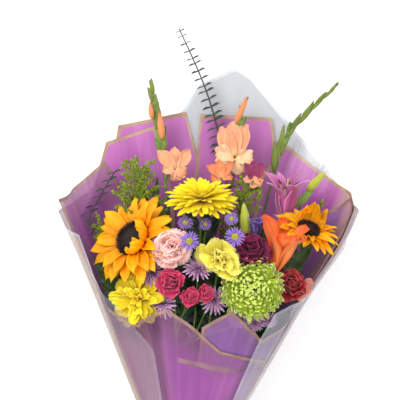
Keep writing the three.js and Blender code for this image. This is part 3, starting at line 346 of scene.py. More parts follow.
# %% Floor material
board, tree, shader = new_material("pale board", 0.9)
speckle = grain(tree, object_place(tree), 30)
colour = blend_colours(tree, speckle, linear(250, 250, 250), linear(255, 255, 255))
tree.links.new(colour, shader.inputs["Base Color"])
shader.inputs["Emission Color"].default_value = (1, 1, 1, 1)
shader.inputs["Emission Strength"].default_value = 0.14
floor.data.materials.append(board)
print("the floor wears", board.name)

# %% [markdown]
# ## The shape of the wrapper
# Seven sheets of film lie on each other round the stems. All of them follow one tube that is
# nearly round at the tie and opens like a flat funnel towards the blooms, with a small bulge at
# the right. Every place on it has an angle round the tube and a height, and every layer of film
# lies one step further out. Leaves and stems that would pass through the film are tucked back in.

# %% Wrapper shape
TIE_RADIUS = 20.9
WRAP_SPREAD = 0.445
WRAP_RISE = 0.22
WRAP_LEAN = 0.087
WRAP_LIFT = 2.2
WRAP_SINK = 0.022
TAIL_SPREAD = -0.3
SQUARENESS = 2.5
BULGE_SIZE = 4.5
BULGE_AT = 372
BULGE_LENGTH = 58
LAYERS = 5
LAYER_GAP = 1.35
LAYER_OPENING = 0.003
FLOOR_GAP = 0.4
TAIL = 85
TUCKED = 0.95
TUCKED_FROM = -50


def film_step(y):
    return LAYER_GAP + LAYER_OPENING * np.maximum(y, 0)


def film_stack(y):
    return LAYERS * film_step(y) + FLOOR_GAP


def wrap_shape(y):
    opened = np.where(y < 0, TAIL_SPREAD * y, y)
    bulge = BULGE_SIZE * np.exp(-(((y - BULGE_AT) / BULGE_LENGTH) ** 2))
    half_width = TIE_RADIUS + WRAP_SPREAD * opened + bulge
    half_depth = TIE_RADIUS + WRAP_RISE * opened
    centre_x = WRAP_LEAN * np.maximum(y, 0) + bulge
    centre_z = half_depth + film_stack(y) + WRAP_LIFT - WRAP_SINK * np.maximum(y, 0)
    return half_width, half_depth, centre_x, centre_z


def wrap_points(degrees, y, outward):
    half_width, half_depth, centre_x, centre_z = wrap_shape(y)
    angle = np.radians(degrees)
    cosine, sine = np.cos(angle), np.sin(angle)
    power = 2 / SQUARENESS
    x = centre_x + np.sign(cosine) * (half_width + outward) * np.abs(cosine) ** power
    z = centre_z + np.sign(sine) * (half_depth + outward) * np.abs(sine) ** power
    return x, y, np.maximum(z, film_stack(y) - outward)


def wrap_angle(half, x, y):
    half_width, _, centre_x, _ = wrap_shape(np.float64(y))
    share = (x - centre_x) / (half_width + film_stack(np.float64(y)) / 2)
    share = float(np.clip(share, -1, 1))
    cosine = math.copysign(abs(share) ** (SQUARENESS / 2), share)
    angle = math.degrees(math.acos(max(-1, min(1, cosine))))
    return {"left": angle, "back": 360 - angle, "right": 360 + angle}[half]


def wrap_share(point):
    """How far out a place lies in the tube of film, 1 being the film, and the middle there."""
    x, y, z = (Vector(point) - TIE) / MM
    half_width, half_depth, centre_x, centre_z = [float(value) for value in wrap_shape(np.float64(y))]
    across = abs((x - centre_x) / half_width) ** SQUARENESS
    share = (across + abs((z - centre_z) / half_depth) ** SQUARENESS) ** (1 / SQUARENESS)
    return share, spot(centre_x, y, centre_z)


def in_wrap(point, share):
    return wrap_share(point)[0] < share


def tuck_in(piece, top):
    """Pulls what would pass through the film, up to a height, back inside it."""
    for vertex in piece.data.vertices:
        if spot(0, TUCKED_FROM, 0).y < vertex.co.y < spot(0, top, 0).y:
            share, middle = wrap_share(vertex.co)
            if share > TUCKED:
                vertex.co = middle + (vertex.co - middle) * TUCKED / share


# %% [markdown]
# ## Where each sheet was cut
# A sheet is named with its layer, 0 being the outermost, and the corners of its upper edge. Each
# corner lies on the left, the back or the right half of the tube, at a place across and a height.

# %% Sheets
SHEETS = {
    "cellophane": (0, [
        ("left", -40, 215), ("left", -78, 262), ("left", -106, 296), ("left", -124, 330),
        ("left", -144, 385), ("left", -189, 400), ("back", -192, 410),
        ("back", -120, 470), ("back", -20, 552), ("back", 23, 618), ("back", 80, 646),
        ("back", 104, 630), ("back", 213, 492), ("back", 262, 408), ("right", 258, 400),
        ("right", 225, 368), ("right", 196, 332), ("right", 176, 304), ("right", 160, 286),
        ("right", 130, 270), ("right", 108, 232),
    ]),
    "purple_sheet_back_left": (1, [
        ("back", -116, 470), ("back", -104, 553), ("back", 1, 575), ("back", 34, 450),
        ("back", 60, 380),
    ]),
    "purple_sheet_back_centre": (2, [
        ("back", -10, 400), ("back", 16, 480), ("back", 24, 571), ("back", 137, 565),
        ("back", 150, 450),
    ]),
    "purple_sheet_left": (2, [
        ("back", -150, 420), ("back", -124, 526), ("back", -48, 553), ("back", -20, 450),
    ]),
    "purple_sheet_right": (3, [
        ("back", 120, 470), ("back", 157, 525), ("back", 255, 446), ("back", 255, 400),
    ]),
    "purple_sheet_front_left": (3, [
        ("left", 122, 195), ("left", 52, 215), ("left", 12, 252), ("left", -22, 279),
        ("left", -42, 272), ("left", -69, 258), ("left", -95, 266), ("left", -116, 288),
        ("left", -182, 404), ("back", -190, 428), ("back", -174, 452), ("back", -128, 496),
        ("back", -96, 443),
    ]),
    "purple_sheet_front_right": (4, [
        ("back", 190, 405), ("back", 240, 425), ("back", 256, 440), ("right", 258, 410),
        ("right", 240, 372), ("right", 166, 268), ("right", 120, 228), ("right", 68, 275),
        ("right", 26, 250),
    ]),
}
MOUTH = 400
print("the mouth is", round(float(2 * wrap_shape(np.float64(MOUTH))[0])), "mm wide")

# %% [markdown]
# ## Folds in the film
# Film that is gathered at a tie has narrow pleats there, which open into a few broad waves
# further up. All layers share one fold pattern, because they were pulled together by hand, so
# one sheet never cuts through the next. The back lies on the surface, so its waves stay low. Each
# wave has a height, a count round the tube, a shift and a drift along the film.

# %% Film sheets
COLUMN_STEP = 1.5
ROWS = 64
CHUNK = 500
UV_LENGTH = 600
OPEN_FROM_TIE = 230
WAVES = [(4.6, 9, 1.1, 0.0), (2.6, 15, 2.4, 0.004), (0.8, 31, 0.0, 0.01)]


def fold_height(degrees, y):
    angle = np.radians(degrees)
    front = np.clip(np.sin(angle), -0.25, 1) * 0.8 + 0.2
    side = np.abs(np.cos(angle)) ** 4
    opening = np.clip(np.abs(y) / OPEN_FROM_TIE, 0, 1)
    pleats = 0.55 * np.cos(26 * angle + 0.6 * np.sin(3 * angle)) * (1 - 0.85 * opening)
    lean = angle + 0.0009 * y
    folds = 1.6 * (np.abs(np.sin(6.5 * lean + 0.4)) ** 6)
    for height, count, shift, drift in WAVES:
        folds = folds + height * np.sin(count * lean + shift + drift * y)
    return pleats + folds * opening ** 1.2 * np.clip(front + 0.35 * side, 0, 1)


def between(corners, steps):
    """Points on the straight cuts from corner to corner, where both lie on one half."""
    line = [corners[0]]
    for first, second in zip(corners, corners[1:]):
        if first[0] == second[0]:
            for step in range(1, steps):
                share = step / steps
                line.append((
                    first[0], first[1] + (second[1] - first[1]) * share,
                    first[2] + (second[2] - first[2]) * share,
                ))
        line.append(second)
    return line


def rim_distance(places, rim):
    """How far each place lies from the nearest one on the rim."""
    distance = np.empty(len(places))
    for index in range(0, len(places), CHUNK):
        apart = places[index:index + CHUNK, None, :] - rim[None, :, :]
        distance[index:index + CHUNK] = np.sqrt((apart ** 2).sum(axis=2)).min(axis=1)
    return distance


def film_sheet(name):
    layer, corners = SHEETS[name]
    corners = between(corners, 10)
    turns = [wrap_angle(*corner) for corner in corners]
    for index in range(1, len(turns)):
        while turns[index] < turns[index - 1] - 20:
            turns[index] += 360
    tops = [corner[2] for corner in corners]
    columns = np.arange(turns[0], turns[-1], COLUMN_STEP)
    columns = np.unique(np.round(np.concatenate([columns, turns]), 3))
    top = np.interp(columns, turns, tops)
    share = np.linspace(0, 1, ROWS)[:, None]
    tail = -TAIL + 2 * layer
    y = tail + (top[None, :] - tail) * share
    degrees = np.repeat(columns[None, :], ROWS, axis=0)
    outward = (LAYERS - layer) * film_step(y)
    fold = fold_height(degrees, y)
    x, y, z = wrap_points(degrees, y, outward + fold)
    z = np.maximum(z, film_stack(y) - outward)
    points = np.stack([x, y, z], axis=-1)
    flat = points.reshape(-1, 3)
    width = len(columns)
    first = np.arange((ROWS - 1) * width).reshape(ROWS - 1, width)[:, :-1].ravel()
    faces = np.stack([first, first + 1, first + width + 1, first + width], axis=1)
    mesh = bpy.data.meshes.new(name + "_film")
    mesh.from_pydata((flat * MM + np.array(TIE)).tolist(), [], faces.tolist())
    rim = np.concatenate([points[-1], points[ROWS // 3:, 0], points[ROWS // 3:, -1]])
    attribute = mesh.attributes.new("edge", "FLOAT", "POINT")
    attribute.data.foreach_set("value", rim_distance(flat, rim))
    uv = mesh.uv_layers.new(name="UVMap")
    across = degrees.ravel() / 360
    along = y.ravel() / UV_LENGTH
    corners_of = np.empty(len(mesh.loops), dtype=int)
    mesh.loops.foreach_get("vertex_index", corners_of)
    uv.data.foreach_set("uv", np.stack([across[corners_of], along[corners_of]], axis=1).ravel())
    film = bpy.data.objects.new(name + "_film", mesh)
    scene.collection.objects.link(film)
    smooth(film)
    area = sum(face.area for face in mesh.polygons)
    print(film.name, "has", len(faces), "faces and", round(area, 3), "square metres")
    return film


films = {name: film_sheet(name) for name in SHEETS}

# %% [markdown]
# ## The look of the film
# The purple film is thin and cloudy, so the blooms show through it a little. A gold line runs
# along its cut edge, and each mesh carries its distance to that edge as an attribute. Where one
# layer shows through another, the film has a band of another tint. One thin dark band on the left
# front sheet is painted shade in a fold, and the pale band at the right of the clear film is also
# painted light that lifts the shade on that side. The clear film is all gloss and creases. One node
# group makes the creases for both, and the pale streaks along the long folds, which are painted
# highlights.

# %% Film creases
creases, inside, outside = new_group(
    "film creases",
    [("Place", "Vector", None), ("Across", "Vector", None)],
    [("Height", "Float"), ("Milk and highlight", "Float")],
)
long_folds = grain(creases, stretched(creases, inside["Across"], (40, 2.2, 1)), 1.6, 3)
narrow_folds = grain(creases, stretched(creases, inside["Across"], (150, 5, 1)), 1.1, 2)
cloud = grain(creases, inside["Place"], 9, 3)
creases.links.new(calc(creases, "MULTIPLY_ADD", narrow_folds, 0.4, long_folds), outside["Height"])
# Half of the long folds go into the colour as pale streaks: painted highlights along the folds.
fold_highlight = calc(creases, "MULTIPLY", long_folds, 0.5)
creases.links.new(calc(creases, "MULTIPLY_ADD", cloud, 0.6, fold_highlight), outside["Milk and highlight"])
print("the creases take", len(creases.nodes), "nodes")

# %% [markdown]
# ## One recipe for every film
# The colour is mixed in steps: a cloudy haze with pale streaks along the long folds, which are
# painted highlights, a glow near the edge, the bands, which hold painted shade and painted light
# too, a hem, and last the gold line. The opacity has steps of its own, because the front is
# clearer than the back. A hem is the edge of the layer behind, drawn as a curved line with a
# middle, a height, a rise and an end.

# %% Film recipe
BAND_END = 0.012


def film_material(name, dark, pale, glow, border, alpha, border_alpha, gloss, bands=(),
                  top=1.0, left=1.0, right=1.0, rim=1.0, band_alpha=0.0, hem=None):
    """A film; top, left, right and rim are shares of its opacity there, at the front only."""
    material, tree, shader = new_material(name, gloss)
    place = tree.nodes.new("ShaderNodeTexCoord").outputs
    inputs = {"Place": place["Object"], "Across": place["UV"]}
    folds = value_node(tree, "ShaderNodeGroup", inputs, node_tree=creases).outputs
    around, along, _ = value_node(tree, "ShaderNodeSeparateXYZ", {0: place["UV"]}).outputs
    edge = stored_number(tree, "edge")
    cloud = grain(tree, place["Object"], 26, 3)
    line = ramp(tree, calc(tree, "MULTIPLY_ADD", cloud, 2.0, edge), 5.0, 7.4, 1.0, 0.0)
    # The film is paler where this is high: the cloud gives its real haze, the long folds give painted
    # highlights.
    milk_and_highlight = ramp(tree, folds["Milk and highlight"], 0.35, 0.75)
    body = blend_colours(tree, milk_and_highlight, linear(*dark), linear(*pale))
    body = blend_colours(tree, ramp(tree, edge, 8, 60, 0.6, 0.0), body, linear(*glow))
    banded = 0.0
    for start, soft, end, tint in bands:
        rising = ramp(tree, around, start - soft, start)
        falling = ramp(tree, around, end, end + BAND_END, 1.0, 0.0)
        band = calc(tree, "MULTIPLY", rising, falling)
        banded = calc(tree, "MAXIMUM", band, banded)
        body = blend_colours(tree, band, body, linear(*tint))
    gold = blend_colours(tree, ramp(tree, cloud, 0.35, 0.65), linear(*border[0]), linear(*border[1]))
    if hem:
        middle, low, rise, end = hem
        aside = calc(tree, "SUBTRACT", around, middle)
        curve = calc(tree, "MULTIPLY_ADD", calc(tree, "MULTIPLY", aside, aside), rise, low)
        height = calc(tree, "MULTIPLY", along, UV_LENGTH)
        off = calc(tree, "ABSOLUTE", calc(tree, "SUBTRACT", height, curve))
        until = ramp(tree, around, end, end + BAND_END, 1.0, 0.0)
        mark = calc(tree, "MULTIPLY", ramp(tree, off, 2.6, 4.6, 0.75, 0.0), until)
        body = blend_colours(tree, mark, body, gold)
    tree.links.new(blend_colours(tree, line, body, gold), shader.inputs["Base Color"])
    left_front = ramp(tree, around, 0.485, 0.51, 1.0, 0.0)
    right_front = ramp(tree, around, 0.99, 1.015)
    front = calc(tree, "MAXIMUM", left_front, right_front)
    near_top = ramp(tree, edge, 10, 60, top, 1.0)
    through = calc(tree, "MULTIPLY", near_top, ramp(tree, right_front, 0, 1, left, right))
    through = calc(tree, "MULTIPLY_ADD", calc(tree, "SUBTRACT", through, 1.0), front, 1.0)
    solid = calc(tree, "MULTIPLY", ramp(tree, milk_and_highlight, 0, 1, *alpha), through)
    solid = calc(tree, "MAXIMUM", solid, calc(tree, "MULTIPLY", banded, band_alpha))
    at_rim = calc(tree, "MULTIPLY", line, border_alpha)
    at_rim = calc(tree, "MULTIPLY", at_rim, ramp(tree, front, 0, 1, 1.0, rim))
    opaque = calc(tree, "MAXIMUM", solid, at_rim, clamp=True)
    tree.links.new(opaque, shader.inputs["Alpha"])
    add_bump(tree, shader, folds["Height"], 0.45, 0.005)
    shader.inputs["Specular IOR Level"].default_value = 0.6
    return material


# %% [markdown]
# ## Four kinds of film
# The purple film gets one material for the sheets at the back and one for each front sheet, and
# the clear film has its own. The same list gives the flat size and the area of each sheet, which
# are guesses from its outline and its pleats.

# %% Film materials
TAN = (166, 128, 100), (198, 164, 136)
BROWN = (150, 112, 100), (184, 148, 132)
CLEAR_RIM = (206, 214, 222), (234, 240, 246)
HEM = (0.165, 184, 1361, 0.27)
BEHIND_BANDS = [(0.93, 0.03, 1.05, (204, 160, 172))]
LEFT_BANDS_AND_FOLD_SHADE = [
    # The second band, thin and dark, is painted shade in a fold of the left front sheet.
    (0.34, 0.07, 0.46, (160, 110, 140)), (0.309, 0.014, 0.318, (128, 76, 118)),
    (0.47, 0.016, 0.512, (204, 172, 160)),
]
RIGHT_BANDS = [(0.96, 0.03, 1.03, (196, 158, 166))]
# The second band, at the right, is the pale tint of the film there, painted whiter still as painted light
# that lifts the shade on the side turned from the lamps.
CLEAR_BANDS_AND_PAINTED_LIGHT = [(0.42, 0.03, 0.53, (214, 186, 168)), (0.95, 0.03, 1.055, (234, 222, 224))]
back_purple = film_material(
    "purple film behind", (166, 60, 166), (198, 94, 190), (206, 124, 194), TAN, (0.94, 0.98), 1.0, 0.35,
    BEHIND_BANDS,
)
left_purple = film_material(
    "purple film at the left", (150, 74, 156), (180, 96, 176), (184, 124, 164), BROWN, (0.88, 0.96),
    0.95, 0.32, LEFT_BANDS_AND_FOLD_SHADE, top=0.5, hem=HEM,
)
front_purple = film_material(
    "purple film in front", (134, 76, 164), (164, 98, 186), (176, 124, 184), BROWN, (0.88, 0.96), 0.95,
    0.3, RIGHT_BANDS, top=0.7,
)
clear_film = film_material(
    "clear film", (172, 176, 182), (202, 206, 212), (206, 208, 214), CLEAR_RIM, (0.68, 0.8), 0.85, 0.16,
    CLEAR_BANDS_AND_PAINTED_LIGHT, top=1.8, left=0.12, right=0.3, rim=0.2, band_alpha=0.52,
)
FILMS = {
    "cellophane": ("cellophane", clear_film, (0.60, 0.73), 0.32),
    "purple_sheet_back_left": ("purple_film", back_purple, (0.18, 0.66), 0.08),
    "purple_sheet_back_centre": ("purple_film", back_purple, (0.17, 0.66), 0.072),
    "purple_sheet_left": ("purple_film", back_purple, (0.15, 0.64), 0.063),
    "purple_sheet_right": ("purple_film", back_purple, (0.16, 0.61), 0.08),
    "purple_sheet_front_left": ("purple_film", left_purple, (0.36, 0.58), 0.14),
    "purple_sheet_front_right": ("purple_film", front_purple, (0.26, 0.53), 0.086),
}
for name, (slot, finish, flat, area) in FILMS.items():
    film = films[name]
    film.data.materials.append(finish)
    hand_over(film, name)

# %% [markdown]
# ## The look of a petal
# A petal is palest or deepest at its root, changes along its length, often has a lighter rim,
# and carries fine veins. One node group mixes all that from the petal's own UV map, where v runs
# from root to tip. A number stored on each petal makes some a little lighter than their
# neighbours.

# %% Petal node group
PLACES = [("Surface", "Vector", None), ("Place", "Vector", None), ("Shade", "Float", 0.5)]
WHITE = (1, 1, 1, 1)
PETAL_NUMBERS = {
    "Root end": 0.4, "Tip start": 0.7, "Rim width": 0.15, "Veins": 5.0, "Vein depth": 0.1,
    "Mottle": 0.2, "Spread": 0.3,
}
petal_skin, inside, outside = new_group(
    "petal surface",
    PLACES + [(label, "Color", WHITE) for label in ("Root", "Middle", "Tip", "Rim")]
    + [(label, "Float", value) for label, value in PETAL_NUMBERS.items()],
    [("Color", "Color"), ("Height", "Float")],
)
net = petal_skin
across, along, _ = value_node(net, "ShaderNodeSeparateXYZ", {0: inside["Surface"]}).outputs
cloud = grain(net, inside["Place"], 220, 3)
near_root = ramp(net, along, 0.0, inside["Root end"], 1.0, 0.0)
near_tip = ramp(net, along, inside["Tip start"], 1.0)
off_middle = calc(net, "ABSOLUTE", calc(net, "MULTIPLY_ADD", across, 2.0, -1.0))
side_rim = ramp(net, off_middle, calc(net, "SUBTRACT", 1.0, inside["Rim width"]), 1.0)
end_rim = ramp(net, along, calc(net, "MULTIPLY_ADD", inside["Rim width"], -0.6, 1.0), 1.0)
phase = calc(net, "MULTIPLY", across, calc(net, "MULTIPLY", inside["Veins"], math.tau))
wave = calc(net, "SINE", calc(net, "ADD", phase, calc(net, "MULTIPLY", cloud, 1.6)))
vein = ramp(net, wave, 0.1, 1.0)
colour = blend_colours(net, near_root, inside["Middle"], inside["Root"])
colour = blend_colours(net, near_tip, colour, inside["Tip"])
colour = blend_colours(net, calc(net, "MAXIMUM", side_rim, end_rim), colour, inside["Rim"])
lighter = calc(net, "MULTIPLY", calc(net, "SUBTRACT", inside["Shade"], 0.5), inside["Spread"])
mottled = calc(net, "MULTIPLY", calc(net, "SUBTRACT", cloud, 0.5), inside["Mottle"])
strength = calc(net, "ADD", calc(net, "ADD", 1.0, lighter), mottled)
strength = calc(net, "SUBTRACT", strength, calc(net, "MULTIPLY", vein, inside["Vein depth"]))
final = value_node(net, "ShaderNodeHueSaturation", {"Value": strength, "Color": colour})
net.links.new(final.outputs[0], outside["Color"])
net.links.new(calc(net, "ADD", vein, cloud), outside["Height"])
print("the petal surface takes", len(net.nodes), "nodes")


def petal_material(name, root, middle, tip, rim, roughness=0.55, sheen=0.15, **numbers):
    colours = {"Root": root, "Middle": middle, "Tip": tip, "Rim": rim}
    numbers = {label.replace("_", " ").capitalize(): value for label, value in numbers.items()}
    material, shader = skin_material(name, petal_skin, roughness, (0.25, 0.0006), colours, numbers)
    shader.inputs["Sheen Weight"].default_value = sheen
    shader.inputs["Specular IOR Level"].default_value = 0.3
    return material


# %% [markdown]
# ## The look of stems
# Stems use their place in space instead of a UV map, because they are made in different ways.
# Fine streaks run along the bouquet, and a slow cloud turns the green warmer or cooler from place
# to place.

# %% Green material
green_skin, inside, outside = new_group(
    "green surface",
    [("Place", "Vector", None), ("Dark", "Color", (0, 0, 0, 1)), ("Light", "Color", (1, 1, 1, 1))],
    [("Color", "Color"), ("Height", "Float")],
)
net = green_skin
streak = grain(net, stretched(net, inside["Place"], (900, 90, 900)), 1, 2)
cloud = grain(net, inside["Place"], 60, 2)
mixed = calc(net, "MULTIPLY_ADD", streak, 0.5, calc(net, "MULTIPLY", cloud, 0.6))
colour = blend_colours(net, ramp(net, mixed, 0.3, 0.8), inside["Dark"], inside["Light"])
net.links.new(colour, outside["Color"])
net.links.new(streak, outside["Height"])


def green_material(name, dark, light):
    return skin_material(name, green_skin, 0.5, (0.3, 0.0004), {"Dark": dark, "Light": light})[0]


stem_green = green_material("stem green", (66, 98, 34), (130, 158, 66))
print("stems wear", stem_green.name)

# %% [markdown]
# ## One petal, shaped
# Every bloom starts from a flat grid that is worked in edit mode: its columns are lifted into a
# trough, its rows are narrowed to the petal's outline, its tip is rounded or toothed, and it is
# bent row by row so that it leaves the bloom at one slope and ends at another. An outline says
# where the petal is widest, how wide its root and its tip are, and how full its sides are.

# %% Petal template
ROUNDED_FROM = 0.55


def breadth(u, widest, root, tip, fullness):
    if u < widest:
        return root + (1 - root) * math.sin(math.pi / 2 * u / widest)
    return 1 + (tip - 1) * ((u - widest) / (1 - widest)) ** fullness


def move(value):
    bpy.ops.transform.translate(value=value)


def resize(value, centre):
    bpy.ops.transform.resize(value=value, center_override=centre)


def tilt_up(degrees, centre):
    bpy.ops.transform.rotate(
        value=-math.radians(degrees), orient_axis="X", orient_type="GLOBAL", center_override=centre
    )


def blade(length, width, outline, rise, material, across=6, along=9, cup=0.1, pleat=0.0,
          pleats=2, wave=0.0, waves=3, rounded=0.3, teeth=0.0, curl_from=0.0):
    """A petal along +Y from the origin; rise is its slope at the root and at the tip."""
    grid = bpy.ops.mesh.primitive_grid_add
    leaf = new_template(grid, material, x_subdivisions=across, y_subdivisions=along, size=1)
    side = across + 1
    length, width = length * MM, width * MM
    bpy.ops.object.mode_set(mode="EDIT")
    resize((width, length, 1), (0, 0, 0))
    move((0, length / 2, 0))
    for column in range(side):
        out = 2 * column / across - 1
        lift = cup * out * out + pleat * math.cos(pleats * math.pi * out)
        pick(leaf, lambda vertex: vertex.index % side == column)
        move((0, 0, lift * width))
    for row in range(along + 1):
        u = row / along
        share = breadth(u, *outline)
        pick(leaf, lambda vertex: vertex.index // side == row)
        resize((share, 1, share), (0, u * length, 0))
        for column in range(side):
            out = 2 * column / across - 1
            back = rounded * width * out * out * max(0, (u - ROUNDED_FROM) / (1 - ROUNDED_FROM)) ** 2
            bite = teeth * width * (1 if column % 2 else -1) * max(0, 2 * u - 1) ** 4
            swing = wave * width * out * out * math.sin(waves * math.pi * u + 1.5 * out)
            pick(leaf, lambda vertex: vertex.index == row * side + column)
            move((0, bite - back, swing * min(1, 2 * u)))
    bpy.ops.mesh.select_all(action="SELECT")
    tilt_up(rise[0], (0, 0, 0))
    bent = [row for row in range(along) if row / along >= curl_from]
    for row in bent:
        cage = bmesh.from_edit_mesh(leaf.data)
        middle = [vertex.co.copy() for vertex in cage.verts if vertex.index // side == row]
        middle = sum(middle, Vector()) / len(middle)
        pick(leaf, lambda vertex: vertex.index // side > row)
        tilt_up((rise[1] - rise[0]) / len(bent), middle)
    bpy.ops.object.mode_set(mode="OBJECT")
    rim = leaf.vertex_groups.new(name="rim")
    for vertex in leaf.data.vertices:
        out = abs(2 * (vertex.index % side) / across - 1)
        rim.add([vertex.index], (vertex.index // side / along) ** 1.4 * (0.35 + 0.65 * out), "ADD")
    return leaf


POINTED = (0.45, 0.5, 0.06, 2.0)
STRAP = (0.6, 0.45, 0.6, 3.0)
FAN = (0.85, 0.22, 0.92, 1.5)
ROUND = (0.62, 0.4, 0.5, 2.6)
QUILL = (0.7, 0.6, 0.4, 2.0)
CURVED = (0.55, 0.55, 0.3, 2.4)
SPEAR = (0.5, 0.4, 0.16, 2.1)
TROWEL = (0.6, 0.26, 0.3, 2.6)
SLIM = (0.45, 0.3, 0.08, 1.8)
SLIM_LEAF = (0.45, 0.3, 0.05, 1.8)
RAY = (0.6, 0.5, 0.3, 2.4)
BROAD_LEAF = (0.42, 0.12, 0.03, 1.6)
STEM_LEAF = (0.42, 0.15, 0.03, 1.6)
LANCE_LEAF = (0.4, 0.3, 0.05, 1.6)
OVAL_LEAF = (0.5, 0.3, 0.2, 2.2)

# %% [markdown]
# ## Copies round a centre
# A bloom is one petal copied round its axis. Each copy has its own mesh, and its turn, slope,
# size and shade differ a little, because no two real petals are alike. The copies are then
# joined, set on the bloom's place, ruffled, and given their thickness.

# %% Rings and blooms


def ruffles(name, scale):
    texture = bpy.data.textures.new(name, "CLOUDS")
    texture.noise_scale = scale
    texture.noise_depth = 1
    return texture


fine_ruffles = ruffles("ruffle", 0.011)
broad_ruffles = ruffles("broad ruffle", 0.019)
UNCHANGED = Matrix.Identity(4)


def set_out(template, matrix, shade):
    petal = template.copy()
    petal.data = template.data.copy()
    petal.data.transform(matrix)
    values = np.full(len(petal.data.vertices), shade, dtype=np.float32)
    petal.data.attributes["shade"].data.foreach_set("value", values)
    scene.collection.objects.link(petal)
    return petal


def placed(template, degrees, start, base, lean, twist, scale, shade):
    """One copy of a petal at its turn round the bloom's axis."""
    matrix = (
        Matrix.Rotation(math.radians(degrees - 90), 4, "Z")
        @ Matrix.Translation((0, start * MM, base * MM))
        @ Matrix.Rotation(math.radians(lean), 4, "X")
        @ Matrix.Rotation(math.radians(twist), 4, "Y")
        @ Matrix.Scale(scale, 4)
    )
    return set_out(template, matrix, shade)


def ring(template, count, start, base, dice, turn=0.0, tilt=7, twist=9, size=0.1):
    petals = []
    for index in range(count):
        degrees = 360 * (index + turn + dice.uniform(-0.18, 0.18)) / count
        petals.append(placed(
            template, degrees, start, base, dice.uniform(-tilt, tilt), dice.uniform(-twist, twist),
            1 + dice.uniform(-size, size), dice.random(),
        ))
    return petals


def ruffle_rims(piece, strength, texture):
    apply_modifier(
        piece, "DISPLACE", texture=texture, texture_coords="LOCAL", strength=strength * MM,
        mid_level=0.5, vertex_group="rim",
    )


def raise_bloom(head, ending, petals, ruffle=0.0, thickness=0.5, texture=fine_ruffles,
                shape=UNCHANGED):
    """Joins the petals into one piece on its place, which stands for the solid of that bloom."""
    piece = join_all(head + ending, petals)
    piece.data.transform(head_pose(*HEADS[head]) @ shape)
    if ruffle:
        ruffle_rims(piece, ruffle, texture)
    apply_modifier(piece, "SOLIDIFY", thickness=thickness * MM, offset=0)
    smooth(piece)
    hand_over(piece, head if head in frame["nodes"] else head + "_petals")


# %% [markdown]
# ## Thin stalks
# Twigs, filaments and the twine are curves with a round section, each with a radius at its start
# and one at its end. They are turned into meshes at once.

# %% Stalks


def stalks(name, paths, material):
    data = bpy.data.curves.new(name, "CURVE")
    data.dimensions = "3D"
    data.bevel_depth = 1
    data.bevel_resolution = 2
    data.resolution_u = 5
    data.use_fill_caps = True
    for points, thick, thin in paths:
        line = data.splines.new("BEZIER")
        line.bezier_points.add(len(points) - 1)
        for index, point in enumerate(points):
            knot = line.bezier_points[index]
            knot.co = point
            knot.radius = (thick + (thin - thick) * index / (len(points) - 1)) * MM
            knot.handle_left_type = knot.handle_right_type = "AUTO"
    stalk = bpy.data.objects.new(name, data)
    scene.collection.objects.link(stalk)
    make_active(stalk)
    bpy.ops.object.convert(target="MESH")
    stalk = bpy.context.object
    stalk.data.materials.clear()
    stalk.data.materials.append(material)
    stalk.data.attributes.new("shade", "FLOAT", "POINT")
    smooth(stalk)
    return stalk


# %% [markdown]
# ## Where the blooms are
# Each bloom has the place of its centre, in millimetres from the tie, and the way it faces.
# Most face the camera. The gerbera, the bell, the lilies and the right sunflower look towards the
# top of the bouquet.

# %% Heads
HEADS = {
    "sunflower_left": ((-76, 379, 140), (-0.5, 0.44, 0.74)),
    "sunflower_right": ((183, 392, 124), (0.3, 0.8, 0.5)),
    "gerbera": ((26, 439, 138), (0.02, 0.92, 0.39)),
    "pink_carnation": ((-18, 369, 176), (0, 0.15, 0.98)),
    "pale_yellow_carnation": ((53, 351, 182), (0.05, 0.1, 0.99)),
    "burgundy_carnation": ((97, 366, 168), (0.05, 0.35, 0.93)),
    "green_mum": ((98, 308, 172), (0.08, 0, 0.99)),
    "yellow_carnation": ((-68, 291, 145), (-0.22, 0.1, 0.96)),
    "spray_rose_a": ((-19, 318, 180), (-0.1, 0.1, 0.99)),
    "spray_rose_b": ((9, 297, 180), (0.1, 0.1, 0.99)),
    "spray_rose_c": ((32, 302, 176), (0.2, 0.1, 0.97)),
    "red_rose": ((157, 312, 140), (0.2, 0.25, 0.94)),
    "aster_a": ((72, 383, 200), (0.1, 0.2, 0.97)),
    "aster_b": ((8, 377, 203), (-0.05, 0.1, 0.99)),
    "aster_c": ((2, 402, 160), (0, 0.5, 0.86)),
    "aster_d": ((68, 408, 170), (0, 0.4, 0.9)),
    "aster_e": ((31, 400, 150), (0, 0.3, 0.95)),
    "mauve_a": ((-46, 330, 150), (-0.4, 0.3, 0.86)),
    "mauve_b": ((20, 336, 158), (0, 0.5, 0.86)),
    "mauve_c": ((44, 290, 150), (0.2, -0.2, 0.96)),
    "mauve_d": ((-32, 284, 150), (-0.2, -0.2, 0.96)),
    "mauve_e": ((80, 259, 134), (-0.1, -0.35, 0.93)),
    "mauve_f": ((104, 253, 132), (0.05, -0.4, 0.92)),
    "mauve_g": ((125, 258, 132), (0.2, -0.35, 0.92)),
    "lime_bloom": ((-92, 334, 112), (-0.3, 0.2, 0.93)),
    "bell_flower": ((104, 390, 150), (0.02, 0.92, 0.4)),
    "pink_lily": ((149, 404, 96), (0.06, 0.93, 0.36)),
    "orange_lily": ((131, 330, 140), (0.27, 0.9, 0.34)),
    "gladiolus_left_flower": ((-14, 484, 78), (0.2, 0.3, 0.93)),
    "gladiolus_centre_flower_a": ((75, 503, 82), (-0.1, 0.25, 0.96)),
    "gladiolus_centre_flower_b": ((55, 470, 96), (-0.1, 0.4, 0.91)),
    "gladiolus_centre_flower_c": ((104, 466, 100), (0.1, 0.5, 0.86)),
}
print("there are", len(HEADS), "heads")

# %% [markdown]
# ## Sunflowers
# A sunflower has two rows of long pointed rays round a low dark disc. The rays are creased
# lengthwise. In the photo some rays of each bloom fold forward over its disc, so these are
# placed one by one, each with its own turn in degrees and its own size.

